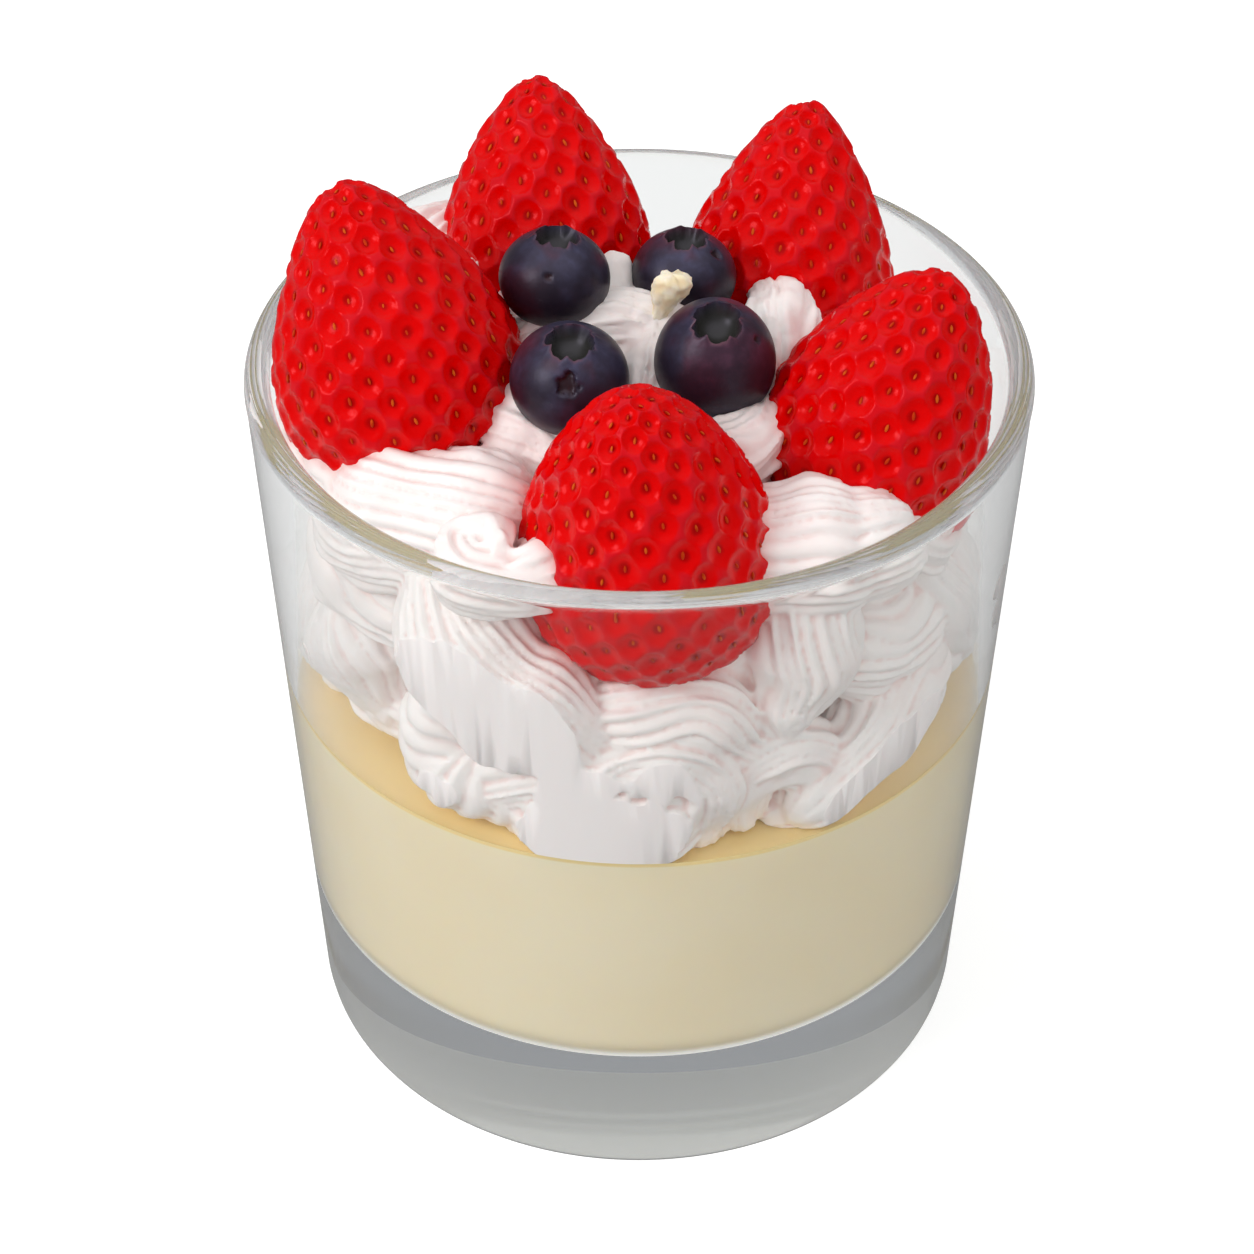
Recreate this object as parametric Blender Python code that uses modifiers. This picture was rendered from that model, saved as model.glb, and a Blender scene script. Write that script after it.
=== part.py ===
"""Red berry parfait: a clear tumbler with a custard layer, piped cream, strawberries and blueberries.

Metres, +Z up. The origin is the centre of the glass's underside, and the front of the dish is -Y.
Azimuths are degrees about +Z from +X, so the front is -90.
"""

import math

import bmesh
import bpy
from mathutils import Vector

MM = 0.001

# Driving dimensions of the tumbler
GLASS_HEIGHT = 90.4 * MM
RIM_RADIUS = 44.0 * MM
FOOT_RADIUS = 39.4 * MM
WALL = 3.0 * MM
BASE_THICKNESS = 17.5 * MM
FOOT_ROUND = 2.0 * MM
FLOOR_ROUND = 4.0 * MM

# Driving dimensions of the filling
CUSTARD_TOP = 50.5 * MM
CREAM_CORE_RADIUS = 31.5 * MM
CREAM_CORE_TOP = 89.0 * MM
CREAM_CORE_SHOULDER = 74.0 * MM

# Clearance kept between neighbours, and the extra reach of the cutters that make it
GAP = 0.3 * MM
POCKET_GAP = 0.35 * MM
ROOM_OVER_RIM = 20.0 * MM

# Facets
TURNED_STEPS = 48
ARC_STEPS = 3
ROPE_LOBES = 11
ROPE_SECTIONS = 16
LOBE_DEPTH = 0.12
ROPE_START_REACH = 0.7
ROPE_START_SHARE = 0.45
ROPE_END_REACH = 0.9
ROPE_END_SHARE = 0.3
JOIN_VOXEL = 0.65 * MM
CREAM_FACETS = 4900
SMALLEST_EDGE = 0.005 * MM

# Strawberries: tip, base, greatest radius, slimness towards the tip, ovalness, all lengths in mm
STRAWBERRIES = {
    "strawberry_back": ((-11.9, 28.4, 109.1), (-10.3, 16.8, 78.9), 12.3, 0.42, 0.02),
    "strawberry_back_right": ((19.5, 26.8, 106.9), (15.4, 13.3, 75.0), 12.8, 0.45, 0.02),
    "strawberry_left": ((-32.3, 0.8, 112.3), (-23.3, -7.2, 79.3), 14.0, 0.42, 0.02),
    "strawberry_right": ((32.8, -8.2, 106.5), (21.1, -12.7, 75.9), 12.6, 0.33, 0.02),
    "strawberry_front": ((-0.7, -29.6, 105.6), (1.8, -24.4, 71.0), 13.9, 0.35, 0.01),
}
STRAWBERRY_SEGMENTS = 18
STRAWBERRY_RINGS = 10
GIRTH_SAMPLES = 160

# Blueberries: centre, half width, half height, tilt about X and Y in degrees, all lengths in mm
BLUEBERRIES = {
    "blueberry_back_left": ((-9.4, 3.7, 98.1), 6.2, 5.5, -6.0, 4.0),
    "blueberry_back_right": ((5.0, 7.8, 95.6), 5.9, 5.2, -4.0, 3.0),
    "blueberry_front_left": ((-7.6, -11.0, 94.9), 6.5, 6.0, 10.0, 2.0),
    "blueberry_front_right": ((8.2, -7.9, 95.0), 6.65, 7.4, 17.0, 1.0),
}
BLUEBERRY_SEGMENTS = 20
BLUEBERRY_RING_ANGLES = [0, 12, 19, 26, 33, 46, 64, 84, 104, 126, 152, 180]

# The crown of a blueberry: angles from its top in degrees, and heights as shares of the berry's size
CROWN_LOBES = 5
CROWN_ANGLE = 23.0
CROWN_WAVE = 0.12
CROWN_DEPTH = 0.22
CROWN_RIM = 0.05
CROWN_RIM_WIDTH = 7.0
CROWN_RIM_SPREAD = 0.4

# The pale stub that stands in the middle of the cream
STUB_FOOT = (2.6, 0.0, 94.0)
STUB_TOP = (3.7, 0.3, 101.0)
STUB_RADIUS = 1.8
STUB_FOOT_SHARE = 0.7
STUB_TOP_SHARE = 1.3
STUB_FLATNESS = 0.8
STUB_RAGGEDNESS = 0.4 * MM
STUB_SIDES = 9

# Piped strokes of cream. Each is a route of (azimuth, distance from the axis, height, rope radius)
# in degrees and mm, and the turns that its ridges make about it
STROKES = [
    # Front, seen through the glass
    ([(-131, 31, 84, 3.5), (-125, 33, 77, 7.5), (-115, 34.3, 71.5, 8.8), (-106, 34.4, 67.5, 8),
      (-99, 33.5, 63.5, 5)], 0.08),
    ([(-123, 32, 68, 4), (-127, 33.2, 63, 5.5), (-126, 33.6, 58, 6), (-118, 33.6, 56, 6),
      (-109, 33, 57, 4)], 0.0),
    ([(-124, 32, 53, 3), (-112, 33, 57.5, 6), (-98, 33.3, 62, 6.8), (-87, 33.3, 63.5, 6.8),
      (-79, 33.3, 59.5, 6.3), (-80, 33.5, 53, 4)], 0.12),
    ([(-111, 33.5, 52.5, 3.5), (-103, 34.6, 54, 7), (-95, 34.8, 55, 7.8), (-87, 34, 55.5, 6.5),
      (-80, 33, 56, 4)], 0.0),
    ([(-103, 31.5, 66, 4), (-91, 32.3, 68.5, 6), (-80, 32.5, 68, 6), (-72, 32.8, 63.5, 4.5)], 0.1),
    ([(-72, 32.5, 53, 3.5), (-71, 33, 58, 4.5), (-64, 33.3, 60.5, 4.8), (-57, 33.3, 57, 4.8),
      (-56, 33.6, 52.5, 4.5),
      (-61, 33.6, 51, 3.5)], 0.1),
    ([(-56, 30.5, 84, 4), (-58, 32.3, 78, 6.2), (-60, 33, 71.5, 6.2), (-64, 33.8, 66.5, 4.3),
      (-66, 34.8, 62.5, 1.4)], 0.3),
    ([(-31, 34.5, 64, 4), (-40, 35.3, 60.5, 5), (-49, 35.5, 57.5, 5), (-58, 35.5, 53.5, 4)], 0.0),
    ([(-54, 30, 69, 4), (-46, 31, 69, 6.8), (-38, 31.5, 69, 7.3), (-30, 32, 69, 6)], 0.0),
    ([(-31, 34, 77, 3.5), (-25, 34.5, 70, 5), (-21, 34.5, 63, 5), (-21, 34, 57.5, 3)], 0.15),
    ([(-20, 34.5, 77, 3), (-17, 35.3, 70.5, 4.5), (-15, 35.5, 64, 5), (-13, 34.5, 57, 3)], 0.2),
    ([(-44, 33.5, 85, 3), (-36, 34.5, 82, 4.5), (-29, 34.5, 80, 4.5), (-22, 34.5, 80, 3.5)], 0.1),
    ([(-24, 31, 57, 4), (-38, 31, 56, 5.5), (-52, 30.5, 55, 5), (-66, 30, 55, 4)], 0.1),
    ([(-160, 31, 70, 4), (-154, 32.3, 67, 6.5), (-151, 32.5, 61.5, 6.5), (-147, 31.8, 57, 3.5)], 0.1),
    ([(-176, 34.5, 68, 3.5), (-172, 35.2, 63, 5), (-170, 35.2, 57.5, 5), (-167, 34, 54, 3)], 0.15),
    ([(-168, 31, 59, 4), (-158, 31, 57, 5), (-147, 30.5, 56.5, 5), (-134, 30, 56, 4)], 0.1),
    ([(-170, 33, 78, 4), (-160, 33, 75.5, 6), (-148, 32.5, 73, 6), (-137, 31.5, 71, 4)], 0.1),
    # Front, above the rim
    ([(-162, 34, 82, 3.5), (-152, 32.5, 82, 7.5), (-139, 29.5, 82.5, 8.5), (-126, 26.5, 82.5, 8),
      (-116, 24, 81, 5)], 0.0),
    ([(-109, 29, 84, 4), (-106, 33, 85.5, 4), (-111, 36.5, 85.5, 3.6), (-119, 37.5, 86, 3.2),
      (-123, 35, 87, 2.8),
      (-118, 33.2, 88, 2.4), (-115, 35, 88.8, 1.5)], 0.1),
    ([(-76, 26, 82, 5), (-64, 29, 83.5, 7), (-55, 31.5, 84, 7.5), (-48, 33.5, 84, 6.5)], 0.0),
    ([(-75, 17, 84, 4), (-62, 18.5, 87, 5), (-50, 19, 89, 4.5), (-38, 18, 90, 2.5)], 0.15),
    ([(172, 36, 79, 3), (-177, 36.5, 82, 4), (-167, 37, 83.5, 4), (-157, 36, 84, 3)], 0.1),
    # Between the berries
    ([(-170, 22, 83, 4), (-158, 18, 86, 6), (-140, 15.5, 87, 6.5), (-118, 16, 86, 5)], 0.1),
    ([(-178, 17, 87, 4), (172, 11, 90, 5.5), (155, 6, 92, 5.5), (70, 2.5, 92.5, 4.5), (10, 5, 93, 3)], 0.1),
    ([(-175, 7, 88, 5), (135, 6, 92, 4.5), (108, 9, 95.5, 2.2)], 0.2),
    ([(-100, 12, 86, 4), (-80, 7, 89, 5.5), (-20, 3, 91, 5), (40, 4, 94, 2)], 0.2),
    ([(-40, 14, 86, 4), (-10, 15, 89.5, 5), (12, 16, 91, 5), (30, 18, 90, 4.5), (45, 19, 87, 3)], 0.2),
    ([(160, 20, 86, 4), (128, 17, 89, 5), (100, 15, 88, 4), (60, 14, 86, 3)], 0.2),
    ([(152, 33, 85, 4), (141, 32.5, 87.5, 6.5), (128, 31.5, 88.5, 6), (117, 30.5, 85, 3.5)], 0.1),
    ([(156, 26, 85, 4), (142, 24, 88, 6), (124, 22, 88.5, 6), (108, 20, 86, 4)], 0.15),
    # Sides and back
    ([(-12, 34, 58, 4), (-2, 34.5, 58, 6.5), (8, 34.5, 59, 7), (20, 34, 62, 4)], 0.2),
    ([(16, 34, 56, 4), (34, 34.5, 57, 7.5), (54, 34.5, 57, 7.5), (72, 34, 60, 4)], 0.25),
    ([(66, 34, 57, 4), (86, 34.5, 56, 7.5), (106, 34.5, 59, 6.5), (120, 34, 62, 4)], 0.3),
    ([(116, 34, 57, 4), (136, 34.5, 57, 7.5), (158, 34.5, 59, 7.5), (172, 34, 62, 4)], 0.2),
    ([(168, 34, 57, 4), (176, 34.5, 57, 5.5), (184, 34.5, 58, 5), (190, 33.5, 61, 3)], 0.2),
    ([(-10, 33, 68, 4), (6, 34, 72, 7), (24, 34, 74, 7), (40, 33, 71, 3)], 0.2),
    ([(44, 33, 70, 4), (62, 34, 73, 7.5), (82, 34, 74, 7), (100, 33, 72, 3)], 0.3),
    ([(96, 33, 69, 4), (114, 34, 73, 7.5), (134, 34, 75, 7.5), (154, 33, 72, 3)], 0.2),
    ([(150, 33, 68, 4), (164, 34, 73, 7), (178, 34, 75, 6.5), (190, 33, 72, 3)], 0.15),
]

COLOURS = {
    "glass": (0.86, 0.89, 0.88),
    "custard": (0.84, 0.76, 0.52),
    "cream": (0.89, 0.80, 0.78),
    "strawberry": (0.62, 0.01, 0.01),
    "blueberry": (0.035, 0.035, 0.09),
    "stub": (0.84, 0.70, 0.43),
}
ROUGHNESS = {
    "glass": 0.03,
    "custard": 0.4,
    "cream": 0.5,
    "strawberry": 0.25,
    "blueberry": 0.45,
    "stub": 0.5,
}


def clear_scene():
    for obj in list(bpy.data.objects):
        bpy.data.objects.remove(obj, do_unlink=True)


def new_collection(name):
    collection = bpy.data.collections.new(name)
    bpy.context.scene.collection.children.link(collection)
    return collection


def principled(finish):
    material = bpy.data.materials.new(finish)
    material.use_nodes = True
    shader = material.node_tree.nodes["Principled BSDF"]
    shader.inputs["Base Color"].default_value = (*COLOURS[finish], 1.0)
    shader.inputs["Roughness"].default_value = ROUGHNESS[finish]
    shader.inputs["Metallic"].default_value = 0.0
    if finish == "glass":
        shader.inputs["Transmission Weight"].default_value = 1.0
        shader.inputs["IOR"].default_value = 1.5
    return material


def add_object(name, mesh, collection, finish=None):
    obj = bpy.data.objects.new(name, mesh)
    collection.objects.link(obj)
    if finish:
        mesh.materials.append(MATERIALS[finish])
    return obj


def outer_radius(height):
    """Outer radius of the tapered wall at a height."""
    share = height / GLASS_HEIGHT
    return FOOT_RADIUS + (RIM_RADIUS - FOOT_RADIUS) * share


def inner_radius(height):
    """Radius of the space inside the wall at a height."""
    return outer_radius(height) - WALL


def arc(centre, radius, start, end, steps):
    """Points of an arc in the XZ plane, from one angle in degrees to another."""
    points = []
    for i in range(steps + 1):
        angle = math.radians(start + (end - start) * i / steps)
        points.append((centre[0] + radius * math.cos(angle), centre[1] + radius * math.sin(angle)))
    return points


def turned(name, outline, collection, finish=None):
    """A solid turned about Z from an outline of (radius, height) that runs down its outer side."""
    mesh = bpy.data.meshes.new(name)
    edges = [(i, i + 1) for i in range(len(outline) - 1)]
    mesh.from_pydata([(r, 0.0, z) for r, z in outline], edges, [])
    obj = add_object(name, mesh, collection, finish)
    screw = obj.modifiers.new("turn", "SCREW")
    screw.axis = "Z"
    screw.steps = TURNED_STEPS
    screw.render_steps = TURNED_STEPS
    screw.use_merge_vertices = True
    screw.merge_threshold = 1e-6
    screw.use_smooth_shade = True
    return obj


def make_glass(collection):
    lip = WALL / 2
    lip_centre = (RIM_RADIUS - lip, GLASS_HEIGHT - lip)
    floor_corner = (inner_radius(BASE_THICKNESS) - FLOOR_ROUND, BASE_THICKNESS + FLOOR_ROUND)
    foot_corner = (FOOT_RADIUS - FOOT_ROUND, FOOT_ROUND)
    outline = [(0.0, BASE_THICKNESS)]
    outline += arc(floor_corner, FLOOR_ROUND, -90, 0, ARC_STEPS)
    outline += arc(lip_centre, lip, 180, 0, 2 * ARC_STEPS)
    outline += arc(foot_corner, FOOT_ROUND, 0, -90, ARC_STEPS)
    outline += [(0.0, 0.0)]
    return turned("glass", outline, collection, "glass")


def inside_outline(bottom, top, rounded):
    """Outline of what stands clear inside the wall, from its top at the axis down to its bottom."""
    outline = [(0.0, top), (inner_radius(top) - GAP, top)]
    if rounded:
        radius = FLOOR_ROUND
        corner = (inner_radius(bottom) - GAP - radius, bottom + radius)
        outline += arc(corner, radius, 0, -90, ARC_STEPS)
    else:
        outline += [(inner_radius(bottom) - GAP, bottom)]
    return outline + [(0.0, bottom)]


def make_custard(collection):
    outline = inside_outline(BASE_THICKNESS + GAP, CUSTARD_TOP, True)
    return turned("custard", outline, collection, "custard")


def strawberry_mesh(name, length, radius, slimness, ovalness, reach=0.0):
    """A cone with a round tip along +Z, its base end at the origin, swollen by reach."""
    angles = [math.pi * i / GIRTH_SAMPLES for i in range(GIRTH_SAMPLES)]
    widest = max(math.sin(angle) * (1 - slimness * math.cos(angle)) for angle in angles)
    mesh = bpy.data.meshes.new(name)
    shape = bmesh.new()
    bmesh.ops.create_uvsphere(
        shape, u_segments=STRAWBERRY_SEGMENTS, v_segments=STRAWBERRY_RINGS, radius=1.0
    )
    for vertex in shape.verts:
        x, y, z = vertex.co
        from_tip = math.acos(max(-1.0, min(1.0, z)))
        around = math.atan2(y, x)
        girth = math.sin(from_tip) * (1 - slimness * math.cos(from_tip)) / widest
        wide = radius * girth * (1 + ovalness * math.cos(2 * around)) + reach * math.sin(from_tip)
        along = length * (1 + math.cos(from_tip)) / 2 + reach * math.cos(from_tip)
        vertex.co = (wide * math.cos(around), wide * math.sin(around), along)
    shape.to_mesh(mesh)
    shape.free()
    mesh.shade_smooth()
    return mesh


def make_strawberry(name, collection, finish="strawberry", reach=0.0):
    tip, base, radius, slimness, ovalness = STRAWBERRIES[name]
    axis = (Vector(tip) - Vector(base)) * MM
    mesh = strawberry_mesh(name, axis.length, radius * MM, slimness, ovalness, reach)
    obj = add_object(name, mesh, collection, finish)
    obj.location = Vector(base) * MM
    obj.rotation_mode = "QUATERNION"
    obj.rotation_quaternion = axis.to_track_quat("Z", "Y")
    return obj


def crown_profile(from_top, around):
    """The crown's hollow and rim: how far the skin stands from a plain ellipsoid, as a share of its size."""
    edge = CROWN_ANGLE * (1 + CROWN_WAVE * math.cos(CROWN_LOBES * around))
    degrees = math.degrees(from_top)
    if degrees < edge * 0.95:
        return -CROWN_DEPTH * (1 - (degrees / edge) ** 4)
    return CROWN_RIM * math.exp(-((degrees - edge) / CROWN_RIM_WIDTH) ** 2)


def blueberry_mesh(name, half_width, half_height, reach=0.0):
    """A round berry with its crown at +Z, swollen by reach. Its rings crowd towards the crown."""
    last = len(BLUEBERRY_RING_ANGLES) - 1
    mesh = bpy.data.meshes.new(name)
    shape = bmesh.new()
    bmesh.ops.create_uvsphere(shape, u_segments=BLUEBERRY_SEGMENTS, v_segments=last, radius=1.0)
    for vertex in shape.verts:
        x, y, z = vertex.co
        ring = round(math.acos(max(-1.0, min(1.0, z))) / math.pi * last)
        from_top = math.radians(BLUEBERRY_RING_ANGLES[ring])
        around = math.atan2(y, x)
        relief = 0.0 if reach else crown_profile(from_top, around)
        wide = (half_width * (1 + CROWN_RIM_SPREAD * max(relief, 0.0)) + reach) * math.sin(from_top)
        high = (half_height * (1 + relief) + reach) * math.cos(from_top)
        vertex.co = (wide * math.cos(around), wide * math.sin(around), high)
    shape.to_mesh(mesh)
    shape.free()
    mesh.shade_smooth()
    return mesh


def make_blueberry(name, collection, finish="blueberry", reach=0.0):
    centre, half_width, half_height, tilt_x, tilt_y = BLUEBERRIES[name]
    mesh = blueberry_mesh(name, half_width * MM, half_height * MM, reach)
    obj = add_object(name, mesh, collection, finish)
    obj.location = Vector(centre) * MM
    obj.rotation_euler = (math.radians(tilt_x), math.radians(tilt_y), 0.0)
    return obj


def make_stub(name, collection, finish="stub", reach=0.0):
    """A leaning chip, narrow at its foot and broad and ragged at its top."""
    foot = Vector(STUB_FOOT) * MM
    axis = Vector(STUB_TOP) * MM - foot
    mesh = bpy.data.meshes.new(name)
    shape = bmesh.new()
    bmesh.ops.create_cone(
        shape,
        cap_ends=True,
        segments=STUB_SIDES,
        radius1=STUB_RADIUS * STUB_FOOT_SHARE * MM + reach,
        radius2=STUB_RADIUS * STUB_TOP_SHARE * MM + reach,
        depth=axis.length + 2 * reach,
    )
    for i, vertex in enumerate(v for v in shape.verts if v.co.z > 0):
        if not reach:
            vertex.co.z += STUB_RAGGEDNESS * math.sin(2.4 * i)
        vertex.co.y *= STUB_FLATNESS
    for vertex in shape.verts:
        vertex.co.z += axis.length / 2
    shape.to_mesh(mesh)
    shape.free()
    obj = add_object(name, mesh, collection, finish)
    obj.location = foot
    obj.rotation_mode = "QUATERNION"
    obj.rotation_quaternion = axis.to_track_quat("Z", "Y")
    return obj


def curved_value(values, share):
    """A value on the smooth curve through evenly spaced values, for a share from 0 to 1."""
    place = share * (len(values) - 1)
    i = min(int(place), len(values) - 2)
    t = place - i
    before = values[max(i - 1, 0)]
    a = values[i]
    b = values[i + 1]
    after = values[min(i + 2, len(values) - 1)]
    bend = 2 * before - 5 * a + 4 * b - after
    return a + 0.5 * t * (b - before + t * (bend + t * (3 * (a - b) + after - before)))


def star_outline():
    """The star nozzle's section: a closed curve of unit radius with rounded lobes."""
    curve = bpy.data.curves.new("nozzle", "CURVE")
    curve.dimensions = "2D"
    spline = curve.splines.new("POLY")
    count = 2 * ROPE_LOBES
    spline.points.add(count - 1)
    for i in range(count):
        angle = 2 * math.pi * i / count
        radius = 1.0 if i % 2 == 0 else 1.0 - 2 * LOBE_DEPTH
        spline.points[i].co = (radius * math.cos(angle), radius * math.sin(angle), 0.0, 1.0)
    spline.use_cyclic_u = True
    return curve


def unwound(angles):
    """Azimuths made continuous, so that a route never jumps the long way round."""
    result = [angles[0]]
    for angle in angles[1:]:
        step = (angle - result[-1] + 180) % 360 - 180
        result.append(result[-1] + step)
    return result


def rope_route(route):
    """Points (place, radius) along a piped stroke, evenly spread along its smooth route."""
    azimuths = [math.radians(azimuth) for azimuth in unwound([p[0] for p in route])]
    columns = [
        [p[1] * math.cos(azimuth) for azimuth, p in zip(azimuths, route)],
        [p[1] * math.sin(azimuth) for azimuth, p in zip(azimuths, route)],
        [p[2] for p in route],
        [p[3] for p in route],
    ]
    points = []
    for i in range(ROPE_SECTIONS):
        x, y, z, radius = (curved_value(column, i / (ROPE_SECTIONS - 1)) for column in columns)
        points.append((Vector((x, y, z)) * MM, radius * MM))
    return points


def make_rope(name, route, turns, nozzle, collection):
    """One piped stroke: the nozzle's star section swept along a route that swells and tapers."""
    curve = bpy.data.curves.new(name, "CURVE")
    curve.dimensions = "3D"
    curve.bevel_mode = "OBJECT"
    curve.bevel_object = nozzle
    curve.use_fill_caps = True
    points = rope_route(route)
    first, second = points[:2]
    before_last, last = points[-2:]
    start = first[0] + (first[0] - second[0]).normalized() * first[1] * ROPE_START_REACH
    end = last[0] + (last[0] - before_last[0]).normalized() * last[1] * ROPE_END_REACH
    points = [(start, first[1] * ROPE_START_SHARE)] + points + [(end, last[1] * ROPE_END_SHARE)]
    spline = curve.splines.new("POLY")
    spline.points.add(len(points) - 1)
    for i, (place, radius) in enumerate(points):
        spline.points[i].co = (*place, 1.0)
        spline.points[i].radius = radius
        spline.points[i].tilt = turns * 2 * math.pi * i / (len(points) - 1)
    swept = bpy.data.objects.new(name, curve)
    collection.objects.link(swept)
    bpy.context.view_layer.update()
    mesh = bpy.data.meshes.new_from_object(swept.evaluated_get(bpy.context.evaluated_depsgraph_get()))
    bpy.data.objects.remove(swept, do_unlink=True)
    close_caps(mesh)
    return add_object(name, mesh, collection)


def close_caps(mesh):
    """Welds a swept curve's loose caps and turns its faces outwards."""
    shape = bmesh.new()
    shape.from_mesh(mesh)
    bmesh.ops.remove_doubles(shape, verts=shape.verts, dist=SMALLEST_EDGE)
    bmesh.ops.recalc_face_normals(shape, faces=shape.faces)
    shape.to_mesh(mesh)
    shape.free()


def apply_modifiers(obj):
    """Gives an object the mesh that its modifiers make."""
    bpy.context.view_layer.update()
    mesh = bpy.data.meshes.new_from_object(obj.evaluated_get(bpy.context.evaluated_depsgraph_get()))
    obj.modifiers.clear()
    obj.data = mesh


def apply_boolean(obj, operation, cutters):
    """Cuts an object by a collection of others, or trims it to their shape, for good."""
    boolean = obj.modifiers.new("boolean", "BOOLEAN")
    boolean.operation = operation
    boolean.solver = "MANIFOLD"
    boolean.operand_type = "COLLECTION"
    boolean.collection = cutters
    apply_modifiers(obj)


def apply_join(obj, pieces):
    """Melts pieces that overlap into the object's mesh, and thins the result to its facets."""
    shape = bmesh.new()
    shape.from_mesh(obj.data)
    for piece in pieces.objects:
        shape.from_mesh(piece.data)
    shape.to_mesh(obj.data)
    shape.free()
    remesh = obj.modifiers.new("melt", "REMESH")
    remesh.mode = "VOXEL"
    remesh.voxel_size = JOIN_VOXEL
    apply_modifiers(obj)
    fine = sum(len(face.vertices) - 2 for face in obj.data.polygons)
    thin = obj.modifiers.new("thin", "DECIMATE")
    thin.ratio = CREAM_FACETS / fine
    apply_modifiers(obj)


def remove_all(collection):
    for obj in list(collection.objects):
        bpy.data.objects.remove(obj, do_unlink=True)
    bpy.data.collections.remove(collection)


def keep_largest_body(mesh):
    """Drops the loose scraps that the cuts leave, and welds what they split too finely."""
    shape = bmesh.new()
    shape.from_mesh(mesh)
    bmesh.ops.remove_doubles(shape, verts=shape.verts, dist=SMALLEST_EDGE)
    bmesh.ops.dissolve_degenerate(shape, edges=shape.edges, dist=SMALLEST_EDGE)
    bmesh.ops.triangulate(shape, faces=shape.faces)
    unseen = set(shape.verts)
    bodies = []
    while unseen:
        front = [unseen.pop()]
        body = set(front)
        while front:
            vertex = front.pop()
            for edge in vertex.link_edges:
                other = edge.other_vert(vertex)
                if other in unseen:
                    unseen.remove(other)
                    body.add(other)
                    front.append(other)
        bodies.append(body)
    largest = max(bodies, key=len)
    scraps = [vertex for vertex in shape.verts if vertex not in largest]
    bmesh.ops.delete(shape, geom=scraps, context="VERTS")
    shape.to_mesh(mesh)
    shape.free()


def core_outline():
    """Outline of the plain cream under the strokes, from its top at the axis down into the custard."""
    return [
        (0.0, CREAM_CORE_TOP),
        (CREAM_CORE_RADIUS * 0.5, CREAM_CORE_TOP - 1.5 * MM),
        (CREAM_CORE_RADIUS * 0.85, CREAM_CORE_SHOULDER + 6 * MM),
        (CREAM_CORE_RADIUS, CREAM_CORE_SHOULDER - 2 * MM),
        (CREAM_CORE_RADIUS, CUSTARD_TOP + 4 * MM),
        (CREAM_CORE_RADIUS - 3 * MM, CUSTARD_TOP - 1 * MM),
        (0.0, CUSTARD_TOP - 1 * MM),
    ]


def make_cream(collection):
    """The piped strokes melted round a plain core, trimmed by the wall and custard, with berry pockets."""
    cream = turned("cream", core_outline(), collection, "cream")
    apply_modifiers(cream)
    strokes = new_collection("piped strokes")
    guide = new_collection("nozzle guide")
    nozzle = add_object("nozzle", star_outline(), guide)
    for i, (route, turns) in enumerate(STROKES):
        make_rope(f"stroke_{i + 1}", route, turns, nozzle, strokes)
    apply_join(cream, strokes)
    remove_all(strokes)
    remove_all(guide)

    room = new_collection("room inside the wall")
    room_outline = inside_outline(CUSTARD_TOP + GAP, GLASS_HEIGHT + ROOM_OVER_RIM, False)
    apply_modifiers(turned("room", room_outline, room))
    apply_boolean(cream, "INTERSECT", room)
    remove_all(room)

    pockets = new_collection("berry pockets")
    for name in STRAWBERRIES:
        make_strawberry(name, pockets, reach=POCKET_GAP)
    for name in BLUEBERRIES:
        make_blueberry(name, pockets, reach=POCKET_GAP)
    make_stub("centre_stub", pockets, reach=POCKET_GAP)
    apply_boolean(cream, "DIFFERENCE", pockets)
    remove_all(pockets)
    keep_largest_body(cream.data)


clear_scene()
MATERIALS = {finish: principled(finish) for finish in COLOURS}
parfait = new_collection("red berry parfait")
make_cream(parfait)
make_glass(parfait)
make_custard(parfait)
for strawberry in STRAWBERRIES:
    make_strawberry(strawberry, parfait)
for blueberry in BLUEBERRIES:
    make_blueberry(blueberry, parfait)
make_stub("centre_stub", parfait)
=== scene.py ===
"""Dresses the red berry parfait: the tumbler, the custard, the piped cream, the berries and the stub.

Metres, +Z up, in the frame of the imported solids. The front of the dish is -Y, and azimuths are
degrees about +Z from +X. The tables of strokes and berries repeat the solids' own.
"""

import math
import random

import bmesh
import bpy
import numpy as np
from mathutils import Matrix, Vector, kdtree, noise


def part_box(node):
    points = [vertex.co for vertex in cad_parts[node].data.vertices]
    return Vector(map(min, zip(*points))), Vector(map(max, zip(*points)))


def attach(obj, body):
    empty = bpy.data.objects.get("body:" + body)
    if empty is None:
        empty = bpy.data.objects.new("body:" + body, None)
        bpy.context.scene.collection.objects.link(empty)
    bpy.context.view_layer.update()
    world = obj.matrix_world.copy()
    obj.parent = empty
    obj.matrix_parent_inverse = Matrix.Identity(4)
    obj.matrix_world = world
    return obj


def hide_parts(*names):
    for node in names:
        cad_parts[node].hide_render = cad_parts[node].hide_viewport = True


bl_info = {
    "name": "Red Berry Parfait",
    "version": (1, 0, 0),
    "blender": (4, 5, 0),
    "location": "View3D > Sidebar > Parfait",
    "description": "Models and finishes a berry parfait in a clear tumbler around its packed solids",
    "category": "Add Mesh",
}

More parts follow.
